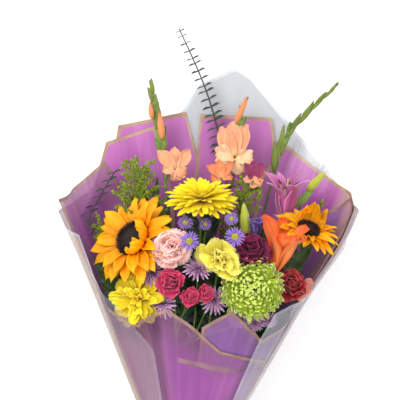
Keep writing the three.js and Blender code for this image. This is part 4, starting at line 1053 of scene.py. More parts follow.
# %% Sunflower rays
ray_gold = petal_material(
    "sunflower ray", (222, 120, 0), (252, 168, 0), (255, 190, 8), (255, 182, 0),
    root_end=0.45, tip_start=0.6, mottle=0.25, sheen=0.0,
)
DISC_SHARE = 0.39


def sunflower(name, size, seed, long_share, folded):
    dice = random.Random(seed)
    disc = DISC_SHARE * size
    reach = size * long_share - disc
    crease = {"pleat": 0.05, "rounded": 0, "across": 8}
    long_ray = blade(reach + 6, 0.29 * size, POINTED, (18, -12), ray_gold,
                     cup=0.14, pleat=0.045, rounded=0, wave=0.08, across=8)
    short_ray = blade(0.88 * reach + 6, 0.27 * size, POINTED, (34, 2), ray_gold,
                      cup=0.2, wave=0.1, **crease)
    folded_ray = blade(1.1 * reach, 0.33 * size, POINTED, (54, 116), ray_gold,
                       cup=0.16, wave=0.12, **crease)
    petals = ring(long_ray, 18, disc - 5, -7, dice, tilt=10, twist=16, size=0.13)
    petals += ring(short_ray, 15, disc - 5, -4, dice, turn=0.4, tilt=13, twist=16, size=0.13)
    for degrees, scale in folded:
        lean, twist = dice.uniform(-16, 12), dice.uniform(-22, 22)
        petals.append(placed(folded_ray, degrees, disc - 1, 0, lean, twist, scale, dice.random()))
    raise_bloom(name, "_rays", petals, ruffle=2.4, thickness=0.6)


LEFT_FOLDED = [
    (-88, 0.5), (-70, 0.66), (-54, 0.58), (-38, 0.74), (-24, 0.62), (-10, 0.76), (6, 0.6),
    (22, 0.7), (40, 0.5),
]
RIGHT_FOLDED = [
    (4, 0.6), (22, 0.8), (38, 0.96), (54, 1.04), (72, 0.96), (90, 1.06), (108, 0.92), (124, 0.7),
]
LEFT_SIZE = 70
RIGHT_SIZE = 46
sunflower("sunflower_left", LEFT_SIZE, 1, 1.0, LEFT_FOLDED)
sunflower("sunflower_right", RIGHT_SIZE, 2, 1.08, RIGHT_FOLDED)

# %% [markdown]
# ## Seed discs
# The disc is a low dome with a ring-shaped crest, packed with small florets. They follow the
# golden angle, the rule by which the real flower packs them. One floret is modelled and copied.

# %% Seed disc
seed_skin = petal_material(
    "seed floret", (20, 11, 10), (34, 20, 14), (64, 36, 20), (46, 26, 16),
    root_end=0.3, tip_start=0.75, veins=2, vein_depth=0.2, mottle=0.5, spread=0.9, roughness=0.75,
)
GOLDEN_ANGLE = math.radians(137.508)
CREST_AT = 0.78


def seed_disc(name, size, seed):
    dice = random.Random(seed)
    disc = DISC_SHARE * size * MM
    dome = new_template(
        bpy.ops.mesh.primitive_uv_sphere_add, seed_skin, segments=28, ring_count=14, radius=disc * 0.97
    )
    floret = new_template(
        bpy.ops.mesh.primitive_cone_add, seed_skin, vertices=5, radius1=1.1 * MM, radius2=0.35 * MM,
        depth=3.4 * MM,
    )
    parts = [set_out(dome, Matrix.Diagonal((1, 1, 0.16, 1)), 0)]
    count = int(300 * (size / LEFT_SIZE) ** 1.6)
    for index in range(count):
        share = (index + 0.5) / count
        out = math.sqrt(share)
        crest = math.exp(-((out - CREST_AT) / 0.16) ** 2)
        height = (2.0 + 3.2 * crest + 0.8 * (1 - share)) * MM
        lean = math.radians(-34 * (out - 0.6) + dice.uniform(-8, 8))
        matrix = (
            Matrix.Rotation(index * GOLDEN_ANGLE, 4, "Z") @ Matrix.Translation((disc * out, 0, height))
            @ Matrix.Rotation(-lean, 4, "Y") @ Matrix.Scale(0.75 + 0.55 * share, 4)
        )
        parts.append(set_out(floret, matrix, 0.25 + 0.5 * crest * dice.random() + 0.2 * dice.random()))
    piece = join_all(name + "_seeds", parts)
    piece.data.transform(head_pose(*HEADS[name]))
    make_active(piece)
    bpy.ops.object.shade_smooth_by_angle(angle=math.radians(40))
    hand_over(piece, name + "_disc")


seed_disc("sunflower_left", LEFT_SIZE, 11)
seed_disc("sunflower_right", RIGHT_SIZE, 12)

# %% [markdown]
# ## Yellow gerbera
# Its rays are straps with blunt, notched ends, in six rows that stand up more towards the
# centre. The bloom faces the top of the bouquet, so the camera sees it nearly from the side.

# %% Gerbera
gerbera_yellow = petal_material(
    "gerbera ray", (244, 188, 0), (255, 232, 0), (255, 240, 20), (255, 236, 0),
    root_end=0.5, veins=4, vein_depth=0.09, mottle=0.15, spread=0.25,
)
dice = random.Random(3)
petals = []
NOTCHED = {"cup": 0.16, "pleat": 0.04, "teeth": 0.08}
for count, start, base, length, width, rise, turn, tilt, outline, shape in [
    (28, 7, -7, 46, 8.6, (4, -6), 0, 5, STRAP, NOTCHED),
    (28, 7, -5, 45, 8.4, (13, 2), 0.5, 5, STRAP, NOTCHED),
    (24, 6, -3, 40, 8, (25, 13), 0.3, 6, STRAP, NOTCHED),
    (20, 5, -1, 32, 7, (42, 28), 0.2, 7, STRAP, {**NOTCHED, "cup": 0.18}),
    (16, 4, 2, 21, 5.4, (60, 48), 0, 7, STRAP, {"cup": 0.2, "teeth": 0.05}),
    (24, 3, 3, 11, 3, (76, 60), 0, 16, POINTED, {"across": 2, "along": 4}),
]:
    strap = blade(length, width, outline, rise, gerbera_yellow, **shape)
    petals += ring(strap, count, start, base, dice, turn=turn, tilt=tilt)
raise_bloom("gerbera", "_rays", petals, ruffle=1.2)

# %% [markdown]
# ## Carnations
# A carnation is a crowd of fan-shaped petals with toothed, ruffled edges. The outer ones lie
# almost flat and the inner ones stand up. The ruffles come from a cloud texture that pushes the
# rims in and out, so that each copy folds in its own way.

# %% Carnations
FULL_ROWS = [
    (6, 3, -17, 1.04, (46, -8)), (6, 3, -14, 1.0, (52, 10)), (6, 3, -11, 0.95, (58, 22)),
    (5, 3, -8, 0.87, (66, 36)), (5, 2.5, -6, 0.79, (72, 48)), (4, 2, -4, 0.68, (80, 62)),
    (3, 1, -2, 0.56, (86, 78)), (3, 0, 0, 0.46, (88, 100)),
]
LOOSE_ROWS = [
    (4, 3, -15, 1.12, (36, -18)), (4, 3, -12, 1.05, (50, 6)), (4, 3, -9, 0.96, (60, 24)),
    (4, 2, -6, 0.84, (70, 44)), (3, 1, -4, 0.7, (82, 66)), (2, 0, -2, 0.56, (88, 84)),
]


def carnation(name, size, seed, rows, material, ruffle, loose, stretch, texture):
    """stretch is the turn of the long way of the bloom, its share, and the share across."""
    dice = random.Random(seed)
    petals = []
    for count, start, base, length, rise in rows:
        for number in range(count):
            bend = dice.uniform(-14, 14) * loose
            fan = blade(length * size * dice.uniform(0.88, 1.08), 1.2 * length * size, FAN,
                        (rise[0] + bend, rise[1] - bend), material, across=12, along=9, cup=0.08,
                        pleat=dice.uniform(0.03, 0.08), pleats=dice.choice((1, 1.5, 2, 2.6)),
                        teeth=0.02, rounded=0.22)
            degrees = 360 * (number + dice.uniform(-0.35, 0.35)) / count + 37 * base
            petals.append(placed(
                fan, degrees, start + dice.uniform(-1, 2), base + dice.uniform(-2, 2),
                dice.uniform(-9, 9) * loose, dice.uniform(-16, 16) * loose, 1, dice.random(),
            ))
    turn = Matrix.Rotation(math.radians(stretch[0]), 4, "Z")
    shape = turn @ Matrix.Diagonal((stretch[1], stretch[2], 1, 1)) @ turn.inverted()
    raise_bloom(name, "_petals", petals, ruffle, 0.4, texture, shape)


pink_skin = petal_material(
    "pink carnation", (228, 130, 120), (250, 186, 176), (254, 212, 204), (255, 226, 218),
    root_end=0.6, rim_width=0.12, veins=7, vein_depth=0.06,
)
pale_skin = petal_material(
    "pale yellow carnation", (214, 196, 44), (248, 232, 80), (254, 244, 118), (255, 246, 144),
    root_end=0.6, rim_width=0.12, veins=7, vein_depth=0.05,
)
burgundy_skin = petal_material(
    "burgundy carnation", (50, 0, 26), (92, 4, 48), (122, 10, 66), (146, 26, 84),
    root_end=0.5, rim_width=0.14, veins=7, vein_depth=0.12, mottle=0.35, spread=0.5,
)
carnation(
    "pink_carnation", 29, 4, FULL_ROWS, pink_skin, 9, 0.8, (0, 1.0, 1.0), broad_ruffles
)
carnation(
    "pale_yellow_carnation", 33, 5, LOOSE_ROWS, pale_skin, 17, 2.1, (-42, 1.1, 0.7),
    broad_ruffles,
)
carnation(
    "burgundy_carnation", 28, 6, FULL_ROWS, burgundy_skin, 9, 1.0, (-15, 1.12, 0.86),
    fine_ruffles,
)

# %% [markdown]
# ## The bright yellow bloom
# The one low on the left has long pleated straps that fall in all directions, with ruffled
# edges, more like a loose chrysanthemum than a carnation.

# %% Bright yellow bloom
yellow_skin = petal_material(
    "bright yellow bloom", (214, 170, 0), (250, 222, 10), (255, 236, 40), (255, 240, 80),
    root_end=0.55, spread=0.35,
)
dice = random.Random(7)
petals = []
for count, start, base, length, rise in [
    (11, 3, -12, 44, (30, -14)), (10, 3, -10, 42, (44, -2)), (9, 3, -7, 36, (58, 16)),
    (8, 2, -5, 29, (70, 36)), (6, 1, -2, 20, (82, 62)),
]:
    strap = blade(length, 0.4 * length, STRAP, rise, yellow_skin, across=10, cup=0.1, wave=0.1,
                  teeth=0.03, pleat=0.08, pleats=2.2, rounded=0.1)
    petals += ring(strap, count, start, base, dice, turn=dice.random(), tilt=14, twist=26)
raise_bloom("yellow_carnation", "_petals", petals, 8, texture=broad_ruffles)

# %% [markdown]
# ## Green chrysanthemum
# More than two hundred narrow troughs curve in towards the centre. They are set by the golden
# angle from the pale, hanging lowest ones up to the short green ones that close the middle.

# %% Green chrysanthemum
mum_low = petal_material(
    "lower green floret", (188, 206, 70), (224, 236, 130), (244, 248, 200), (236, 244, 176),
    veins=3, vein_depth=0.08, mottle=0.15,
)
mum_high = petal_material(
    "upper green floret", (174, 200, 34), (212, 234, 74), (236, 246, 146), (230, 242, 130),
    veins=3, mottle=0.15, spread=0.35,
)
dice = random.Random(8)
petals = []
STEPS = 8
PER_STEP = 29
for step in range(STEPS):
    share = step / (STEPS - 1)
    floret = blade(
        35 - 15 * share, 7.6 - 2.0 * share, CURVED, (-10 + 60 * share, 88 + 66 * share),
        mum_low if step < 2 else mum_high, across=4, along=8, cup=0.36, rounded=0.5, curl_from=0.3,
    )
    for number in range(step * PER_STEP, (step + 1) * PER_STEP):
        place = number / (PER_STEP * STEPS)
        petals.append(placed(
            floret, 90 + number * math.degrees(GOLDEN_ANGLE), 21 * math.cos(math.radians(88 * place)) + 0.5,
            -18 + 27 * math.sin(math.radians(90 * place)), dice.uniform(-10, 10), dice.uniform(-14, 14),
            dice.uniform(0.86, 1.12), dice.random(),
        ))
raise_bloom("green_mum", "_florets", petals, ruffle=1)

# %% [markdown]
# ## Roses
# Rose petals wrap round each other. The cup of each petal is deep, and the rows stand up more
# and more towards the centre, so that the inner ones form the spiral of the opening bud. The red
# rose also has three salmon petals at its right.

# %% Roses
rose_pink = petal_material(
    "hot pink rose", (134, 16, 52), (200, 44, 88), (214, 62, 108), (220, 84, 124),
    root_end=0.5, rim_width=0.12, veins=6, vein_depth=0.06, spread=0.4,
)
rose_red = petal_material(
    "red rose", (84, 8, 16), (166, 32, 42), (182, 46, 54), (194, 66, 70),
    root_end=0.5, rim_width=0.14, veins=6, vein_depth=0.08, mottle=0.3, spread=0.4,
)
salmon_skin = petal_material(
    "salmon petal", (188, 92, 82), (224, 140, 124), (236, 166, 150), (240, 180, 166),
    root_end=0.5, rim_width=0.14, veins=6, vein_depth=0.08,
)


def rose(name, size, seed, material, open_by=0.0, salmon=()):
    """open_by bends the outer row back, and salmon lists the salmon petals: turn, start, length."""
    dice = random.Random(seed)
    petals = []
    for count, start, base, length, width, rise, cup in [
        (4, 0.3, -0.66, 1.12, 1.3, (66, 6 - open_by), 0.18), (4, 0.3, -0.5, 1.1, 1.25, (76, 40), 0.26),
        (3, 0.32, -0.4, 1.04, 1.2, (86, 66), 0.36), (3, 0.24, -0.3, 0.98, 0.9, (92, 84), 0.44),
        (3, 0.14, -0.24, 0.94, 0.6, (94, 92), 0.52), (2, 0.06, -0.2, 0.88, 0.34, (94, 94), 0.6),
    ]:
        petal = blade(length * size, width * size, ROUND, rise, material, across=8, along=8, cup=cup,
                      wave=0.03)
        petals += ring(petal, count, start * size, base * size, dice, turn=dice.random(), tilt=5, twist=8)
    for degrees, start, length in salmon:
        petal = blade(length, 0.9 * length, ROUND, (34, -6), salmon_skin, across=8, along=8,
                      cup=0.14, rounded=0.2, wave=0.08)
        petals.append(placed(petal, degrees, start, -8, 0, dice.uniform(-12, 12), 1, dice.random()))
    raise_bloom(name, "_petals", petals, ruffle=0.1 * size, thickness=0.4)


rose("spray_rose_a", 20, 21, rose_pink, 14)
rose("spray_rose_b", 14, 22, rose_pink)
rose("spray_rose_c", 12.5, 23, rose_pink)
rose("red_rose", 23.5, 24, rose_red, 8, [(-20, 17, 19), (-50, 14, 18), (6, 20, 17)])

# %% [markdown]
# ## Lilies
# A lily has three broad and three narrower petals that form a trumpet and roll back at the
# tips. The pink one has dark stripes and pale edges, the orange one is redder along its edges.

# %% Lilies
lily_pink = petal_material(
    "pink lily", (190, 104, 150), (184, 88, 148), (206, 124, 176), (218, 150, 192),
    root_end=0.25, tip_start=0.6, rim_width=0.18, veins=3, vein_depth=0.2, mottle=0.25, roughness=0.45,
)
lily_orange = petal_material(
    "orange lily", (236, 150, 84), (250, 140, 62), (244, 108, 40), (238, 92, 30),
    tip_start=0.55, rim_width=0.34, veins=3, vein_depth=0.14, roughness=0.45,
)


def lily(name, length, rise, width, seed, material, outline, behind, before, curl_from):
    """behind and before list the turns of the narrow and of the broad petals, in degrees."""
    dice = random.Random(seed)
    petals = []
    for share, breadth_share, start, turns in ((0.97, 0.78, 3, behind), (1, 1, 2.4, before)):
        petal = blade(share * length, breadth_share * width, outline, rise, material, across=8,
                      along=14, cup=0.2, pleat=0.03, wave=0.06, waves=5, rounded=0, curl_from=curl_from)
        for degrees in turns:
            petals.append(placed(
                petal, degrees, start, -4, dice.uniform(-4, 4), dice.uniform(-10, 10),
                dice.uniform(0.95, 1.03), dice.random(),
            ))
    raise_bloom(name, "_trumpet", petals, ruffle=2.5, thickness=0.8)


lily(
    "orange_lily", 90, (82, 48), 33, 31, lily_orange, TROWEL,
    (80, 200, 320), (20, 140, 262), 0.25,
)
lily(
    "pink_lily", 88, (80, 24), 28, 32, lily_pink, SLIM,
    (95, 215, 335), (35, 155, 275), 0.45,
)

# %% [markdown]
# ## Gladiolus flowers
# Each open flower has two or three upright petals and a few soft, ruffled ones that hang, in
# peach, cream or orange. The small one at the right of the centre spike has three striped petals
# behind it, as the photo shows there.

# %% Gladiolus flowers
peach_skin = petal_material(
    "peach petal", (250, 206, 160), (246, 176, 132), (242, 160, 120), (248, 184, 148),
    rim_width=0.2, vein_depth=0.06, mottle=0.15, spread=0.25,
)
cream_skin = petal_material(
    "cream petal", (246, 214, 150), (250, 208, 164), (250, 196, 150), (252, 216, 180),
    rim_width=0.2, vein_depth=0.05, mottle=0.15, spread=0.2,
)
orange_skin = petal_material(
    "orange petal", (244, 190, 130), (240, 150, 100), (238, 124, 80), (240, 146, 104),
    tip_start=0.6, rim_width=0.2, vein_depth=0.08, mottle=0.15, spread=0.25,
)
striped_skin = petal_material(
    "striped petal", (190, 120, 150), (164, 58, 108), (140, 36, 84), (176, 84, 124),
    root_end=0.3, vein_depth=0.5,
)


def gladiolus_flower(name, size, seed, upper, lower, tops, sides, behind=()):
    """tops and sides list the turns of the upright petals and of the hanging ones, in degrees."""
    dice = random.Random(seed)
    petals = []
    for degrees in behind:
        striped = blade(2 * size, 14, ROUND, (60, 30), striped_skin, across=8, cup=0.2, wave=0.05)
        petals.append(placed(striped, degrees, 1, -8, 0, 0, 1, 0.5))
    wide = blade(1.5 * size, 0.8 * size, SPEAR, (34, 6), upper, across=10,
                 along=10, cup=0.2, pleat=0.03, wave=0.07, waves=3, rounded=0.1)
    slim = blade(1.0 * size, 0.74 * size, ROUND, (62, -52), lower, across=10,
                 along=10, cup=0.12, pleat=0.05, pleats=2, wave=0.12, waves=4)
    for template, turns in ((slim, sides), (wide, tops)):
        for degrees in turns:
            petals.append(placed(
                template, degrees, 0.06 * size, -0.3 * size, dice.uniform(-7, 7), dice.uniform(-16, 16),
                dice.uniform(0.92, 1.06), dice.random(),
            ))
    raise_bloom(name, "_petals", petals, 0.26 * size, 0.4, broad_ruffles)


for name, *flower in [
    ("left_flower", 25, 71, peach_skin, peach_skin, (58, 92, 134), (196, 336, 268)),
    ("centre_flower_a", 35, 72, peach_skin, cream_skin, (66, 108, 88), (172, 345, 214, 296)),
    ("centre_flower_b", 20, 73, orange_skin, orange_skin, (50, 96, 144), (6, 190)),
    ("centre_flower_c", 17, 74, orange_skin, peach_skin, (52, 84), (20, 190, 330, 268), (60, 96, 130)),
]:
    gladiolus_flower("gladiolus_" + name, *flower)

# %% [markdown]
# ## Bell flower and lime bloom
# The violet bell is a cup of six broad petals seen from the side, with five smaller ones inside.
# The lime bloom is a small tuft of green straps.

# %% Bell flower and lime bloom
bell_skin = petal_material(
    "violet bell", (38, 18, 74), (76, 44, 122), (102, 72, 148), (142, 118, 180),
    rim_width=0.2, vein_depth=0.2, mottle=0.3, spread=0.5,
)
lime_skin = petal_material(
    "lime strap", (118, 146, 40), (168, 188, 66), (204, 214, 120), (196, 208, 110),
    veins=3, mottle=0.15, spread=0.4,
)
dice = random.Random(81)
petal = blade(33, 15, ROUND, (92, 66), bell_skin, across=8, cup=0.26, wave=0.05)
small = blade(26, 12, ROUND, (92, 76), bell_skin, across=8, cup=0.3)
petals = ring(petal, 6, 3, -12, dice) + ring(small, 5, 2, -10, dice)
raise_bloom("bell_flower", "_petals", petals, ruffle=2)
dice = random.Random(82)
petals = []
for count, start, base, length, rise in [
    (12, 5, -7, 17, (4, 20)), (12, 4, -4, 17, (22, 40)), (9, 3, -1, 16, (44, 58)),
    (7, 2, 1, 13, (64, 80)),
]:
    strap = blade(length, 4.6, STRAP, rise, lime_skin, across=4, along=6, cup=0.3, rounded=0.6)
    petals += ring(strap, count, start, base, dice, turn=dice.random(), tilt=9, twist=14)
raise_bloom("lime_bloom", "_straps", petals)

# %% [markdown]
# ## The look of a leaf
# A leaf has a pale midrib and slanting side veins, both drawn from its UV map. The leaves deep
# between the stems are painted nearly black green as painted shade, and the broad ones are warmer.

# %% Leaf materials
leaf_skin, inside, outside = new_group(
    "leaf surface",
    PLACES + [(label, "Color", WHITE) for label in ("Dark", "Light", "Vein")],
    [("Color", "Color"), ("Height", "Float")],
)
net = leaf_skin
across, along, _ = value_node(net, "ShaderNodeSeparateXYZ", {0: inside["Surface"]}).outputs
off_middle = calc(net, "ABSOLUTE", calc(net, "MULTIPLY_ADD", across, 2.0, -1.0))
midrib = ramp(net, off_middle, 0.02, 0.1, 1.0, 0.0)
slant = calc(net, "MULTIPLY_ADD", off_middle, -0.35, along)
side_vein = ramp(net, calc(net, "SINE", calc(net, "MULTIPLY", slant, 60.0)), 0.8, 1.0)
cloud = grain(net, inside["Place"], 90, 3)
share = calc(net, "MULTIPLY_ADD", inside["Shade"], 0.5, calc(net, "MULTIPLY", cloud, 0.6))
colour = blend_colours(net, ramp(net, share, 0.2, 0.8), inside["Dark"], inside["Light"])
veins = calc(net, "MAXIMUM", midrib, calc(net, "MULTIPLY", side_vein, 0.5))
colour = blend_colours(net, calc(net, "MULTIPLY", veins, 0.7), colour, inside["Vein"])
net.links.new(colour, outside["Color"])
net.links.new(calc(net, "MULTIPLY_ADD", veins, -1.0, cloud), outside["Height"])


def leaf_material(name, dark, light, vein):
    colours = {"Dark": dark, "Light": light, "Vein": vein}
    return skin_material(name, leaf_skin, 0.4, (0.4, 0.0006), colours)[0]


broad_green = leaf_material("broad leaf", (22, 46, 22), (54, 86, 38), (110, 138, 74))
painted_shade_green = leaf_material("shaded leaf", (12, 28, 20), (34, 62, 40), (70, 96, 66))
fresh_green = leaf_material("fresh leaf", (84, 124, 36), (128, 168, 56), (168, 196, 110))
print("the leaf surface takes", len(leaf_skin.nodes), "nodes")

# %% [markdown]
# ## Leaves along the stems
# Most stems keep leaves of their own. They fill the dark gaps between the blooms, so they sit
# below the heads and lean back. A stem's centre at some height is the middle of the places where
# its edges pass that height.

# %% Leaves along the stems
LEAF_LENGTH = 46
LEAF_ROOM = 0.92


def aimed(at, along, up=(0, 0, 1), scale=1.0):
    along = Vector(along).normalized()
    side = along.cross(Vector(up)).normalized()
    turn = Matrix((side, along, side.cross(along))).transposed().to_4x4()
    return Matrix.Translation(at) @ turn @ Matrix.Scale(scale, 4)


def stem_centre(node, y):
    level = spot(0, y, 0).y
    mesh = frame["nodes"][node].data
    crossings = []
    for edge in mesh.edges:
        low, high = [mesh.vertices[index].co for index in edge.vertices]
        if (low.y - level) * (high.y - level) < 0:
            crossings.append(low.lerp(high, (level - low.y) / (high.y - low.y)))
    return sum(crossings, Vector()) / len(crossings) if crossings else None


def foliage(node, first, last, step, spread):
    """Leaves at both hands of a stem, wherever the whole leaf has room inside the film."""
    dice = random.Random(500 + len(node))
    # These leaves wear the nearly black green of painted shade in the gaps between the blooms.
    leaf = blade(LEAF_LENGTH, 0.36 * LEAF_LENGTH, STEM_LEAF, (14, -20), painted_shade_green,
                 across=4, along=7, cup=0.16, wave=0.05, rounded=0)
    parts = []
    hand = 1
    y = first
    while y < last:
        at = stem_centre(node, y)
        if at is not None:
            along = Vector((hand * dice.uniform(*spread), 1, dice.uniform(-0.7, -0.25)))
            scale = dice.uniform(0.75, 1.2)
            tip = at + along.normalized() * LEAF_LENGTH * scale * MM
            if in_wrap(tip, LEAF_ROOM):
                parts.append(set_out(leaf, aimed(at, along, scale=scale), dice.random()))
        hand = -hand
        y += step * dice.uniform(0.8, 1.2)
    return parts


# %% [markdown]
# ## Stems
# The CAD stems have the right routes but only four or five sides. A copy of each is merged, its
# triangles are turned back into quads, and a subdivision rounds it. Where a spray gets new
# twigs, the copy is cut with a bisect and closed, and the new twigs start from the cut.

# %% Rounded copies of CAD stems


def rounded_copy(node, material, name, cut=None):
    """The copy and, where it was cut, the middle of the cut."""
    piece = bpy.data.objects.new(name, frame["nodes"][node].data.copy())
    scene.collection.objects.link(piece)
    make_active(piece)
    piece.data.materials.clear()
    piece.data.materials.append(material)
    bpy.ops.object.mode_set(mode="EDIT")
    bpy.ops.mesh.select_all(action="SELECT")
    bpy.ops.mesh.remove_doubles(threshold=0.00002)
    if cut is not None:
        bpy.ops.mesh.bisect(
            plane_co=spot(0, cut, 0), plane_no=(0, 1, 0), use_fill=True, clear_outer=True
        )
        bpy.ops.mesh.select_all(action="SELECT")
    bpy.ops.mesh.tris_convert_to_quads(face_threshold=0.7, shape_threshold=0.7)
    bpy.ops.object.mode_set(mode="OBJECT")
    end = None
    if cut is not None:
        level = spot(0, cut, 0).y
        rim = [vertex.co for vertex in piece.data.vertices if abs(vertex.co.y - level) < 0.1 * MM]
        end = sum(rim, Vector()) / len(rim)
    apply_modifier(piece, "SUBSURF", levels=2, render_levels=2)
    tuck_in(piece, 200)
    attribute = piece.data.attributes.new("shade", "FLOAT", "POINT")
    attribute.data.foreach_set("value", [0.5] * len(piece.data.vertices))
    smooth(piece)
    return piece, end


WIDE = (0.35, 1.2)
NARROW = (0.1, 0.5)
FOLIAGE = {
    "sunflower_left_stem": (215, 345, 8, (0.1, 0.8)),
    "sunflower_right_stem": (225, 360, 12, (0.1, 0.6)),
    "gerbera_stem": (255, 408, 6, WIDE),
    "pink_carnation_stem": (215, 335, 8, WIDE),
    "pale_yellow_carnation_stem": (215, 322, 8, WIDE),
    "burgundy_carnation_stem": (215, 338, 8, WIDE),
    "green_mum_stem": (205, 272, 9, WIDE),
    "yellow_carnation_stem": (200, 262, 10, NARROW),
    "spray_rose_a_stem": (215, 288, 8, WIDE),
    "red_rose_stem": (205, 285, 10, NARROW),
    "lime_bloom_stem": (200, 318, 7, (-0.15, 0.6)),
    "bell_flower_stem": (255, 380, 8, WIDE),
}
for node in [node for node in frame["nodes"] if node in FOLIAGE]:
    stem, _ = rounded_copy(node, stem_green, node + "_round")
    stem = join_all(node + "_round", [stem] + foliage(node, *FOLIAGE[node]))
    smooth(stem)
    hand_over(stem, node)

# %% [markdown]
# ## Smooth routes
# Spikes and sprays follow smooth routes. One tool lays a smooth curve through a few places and
# spaces points evenly on it, and one finds the place and the heading a share of the way. A spray
# that was cut gets its route from the cut, through those of its places that lie well past it.

# %% Routes
FINE_STEPS = 24
PAST_THE_CUT = 12


def smooth_route(points, count=80):
    """Evenly spaced places on one smooth curve through the points."""
    knots = [Vector(point) for point in points]
    knots = [2 * knots[0] - knots[1]] + knots + [2 * knots[-1] - knots[-2]]
    fine = []
    for first, second, third, fourth in zip(knots, knots[1:], knots[2:], knots[3:]):
        for step in range(FINE_STEPS):
            t = step / FINE_STEPS
            fine.append(0.5 * (
                2 * second + (third - first) * t + (2 * first - 5 * second + 4 * third - fourth) * t * t
                + (3 * second - first - 3 * third + fourth) * t ** 3
            ))
    fine.append(knots[-2])
    cloud = np.array([tuple(point) for point in fine])
    run = np.concatenate([[0], np.cumsum(np.linalg.norm(np.diff(cloud, axis=0), axis=1))])
    even = np.linspace(0, run[-1], count + 1)
    return [Vector([np.interp(place, run, cloud[:, axis]) for axis in range(3)]) for place in even]


def on_route(line, share):
    index = min(int(share * (len(line) - 1)), len(line) - 2)
    return line[index].copy(), (line[index + 1] - line[index]).normalized()


def route_from_cut(end, cut, route):
    return smooth_route([end] + [spot(*point) for point in route if point[1] > cut + PAST_THE_CUT])


# %% [markdown]
# ## Buds
# A bud is a sphere drawn out lengthwise: its rings are narrowed towards the tip and it is laid
# along +Y like the petals, so that the same copying tools serve it. Lily buds are green with
# lengthwise ridges, gladiolus buds are slim and some of them are peach.

# %% Buds
lily_bud_skin = petal_material(
    "lily bud", (124, 146, 40), (184, 194, 66), (206, 206, 96), (190, 198, 76),
    rim_width=0.0, veins=6, vein_depth=0.16, mottle=0.15, spread=0.2,
)
BUD_RINGS = 10
GROOVE_EVERY = 60


def in_groove(vertex):
    turn = math.degrees(math.atan2(vertex.co.z, vertex.co.x))
    return round(turn / GROOVE_EVERY, 3) % 1 < 0.01


def bud(length, radius, material, segments=12, ribs=0.0):
    sphere = bpy.ops.mesh.primitive_uv_sphere_add
    shape = new_template(sphere, material, segments=segments, ring_count=BUD_RINGS, radius=1)
    shape.data.transform(Matrix.Rotation(math.radians(-90), 4, "X"))
    half = length / 2 * MM
    bpy.ops.object.mode_set(mode="EDIT")
    bpy.ops.mesh.select_all(action="SELECT")
    resize((radius * MM, half, radius * MM), (0, 0, 0))
    move((0, half, 0))
    for level in range(1, BUD_RINGS):
        height = half * (1 - math.cos(math.pi * level / BUD_RINGS))
        share = 1.08 - 0.5 * (height / (2 * half)) ** 1.5
        pick(shape, lambda vertex: abs(vertex.co.y - height) < 0.02 * MM)
        resize((share, 1, share), (0, height, 0))
    if ribs:
        pick(shape, in_groove)
        resize((1 - ribs, 1, 1 - ribs), (0, half, 0))
    bpy.ops.object.mode_set(mode="OBJECT")
    return shape


LILY_BUDS = {
    "orange_lily": ((91, 380, 140), (-0.08, 0.98, 0.1), 50, 8.5),
    "pink_lily": ((184, 448, 92), (0.66, 0.72, 0.2), 40, 7),
}
for name, (root, along, length, radius) in LILY_BUDS.items():
    stem, _ = rounded_copy(name + "_stem", stem_green, name + "_stem_round")
    shape = bud(length * 1.02, radius * 1.04, lily_bud_skin, ribs=0.1)
    parts = [stem, set_out(shape, aimed(spot(*root), along), 0.6)]
    if name == "pink_lily":
        leaf = blade(46, 11, SLIM_LEAF, (10, -20), fresh_green, across=4, along=8, cup=0.15, rounded=0)
        parts.append(set_out(leaf, aimed(spot(165, 424, 92), (0.72, 0.7, 0.12)), 0.6))
    hand_over(join_all(name + "_stem_round", parts), name + "_stem")

# %% [markdown]
# ## Gladiolus spikes
# A spike carries its buds in two rows, left and right. Each lies close along the stem in its own
# pointed sheath and overlaps the next, so that the whole spike tapers in one smooth line. A few
# buds on the left and the centre spike are already peach. The stalks of the open flowers stay as
# they are in the CAD copy.

# %% Gladiolus spikes
bud_skin = petal_material(
    "gladiolus bud", (98, 120, 44), (128, 144, 62), (142, 112, 74), (132, 140, 70),
    root_end=0.5, rim_width=0.0, veins=9, vein_depth=0.14, mottle=0.25, spread=0.4,
)
peach_bud_skin = petal_material(
    "peach bud", (176, 168, 90), (240, 150, 98), (232, 116, 70), (240, 150, 98),
    root_end=0.3, tip_start=0.6, rim_width=0.0, veins=7,
)
sheath_skin = petal_material(
    "green sheath", (92, 114, 46), (120, 138, 62), (134, 104, 74), (140, 130, 84),
    root_end=0.5, tip_start=0.6, rim_width=0.14, veins=7, vein_depth=0.14, mottle=0.25, spread=0.4,
)
SHEATH = (0.35, 0.7, 0.05, 1.5)
SPIKES = {
    "gladiolus_left": (
        [(-22, 380, 59), (-30, 455, 58), (-38, 535, 45), (-56, 622, 50)],
        (10, 0.48, 0.9, 36, 24, 5.4), (3,),
        [((-51, 560, 54), (-0.12, 1, 0.2), 25, 4.4, peach_bud_skin, 0.5),
         ((-35, 528, 58), (-0.1, 1, 0.2), 42, 5.8, peach_bud_skin, 0.5)],
    ),
    "gladiolus_centre": (
        [(56, 400, 53), (72, 455, 54), (82, 535, 43), (94, 595, 46)],
        (3, 0.6, 0.74, 34, 30, 4.4), (),
        [((77, 552, 45), (0.45, 1, 0.05), 48, 5.6, peach_bud_skin, 0.5)],
    ),
    "gladiolus_right": (
        [(118, 400, 38), (142, 489, 33), (154, 528, 36), (178, 559, 45), (208, 589, 57), (236, 613, 69)],
        (11, 0.36, 0.93, 44, 22, 4.6), (),
        [((138, 478, 36), (0.04, 1, 0.1), 50, 5.6, bud_skin, 0.4)],
    ),
}


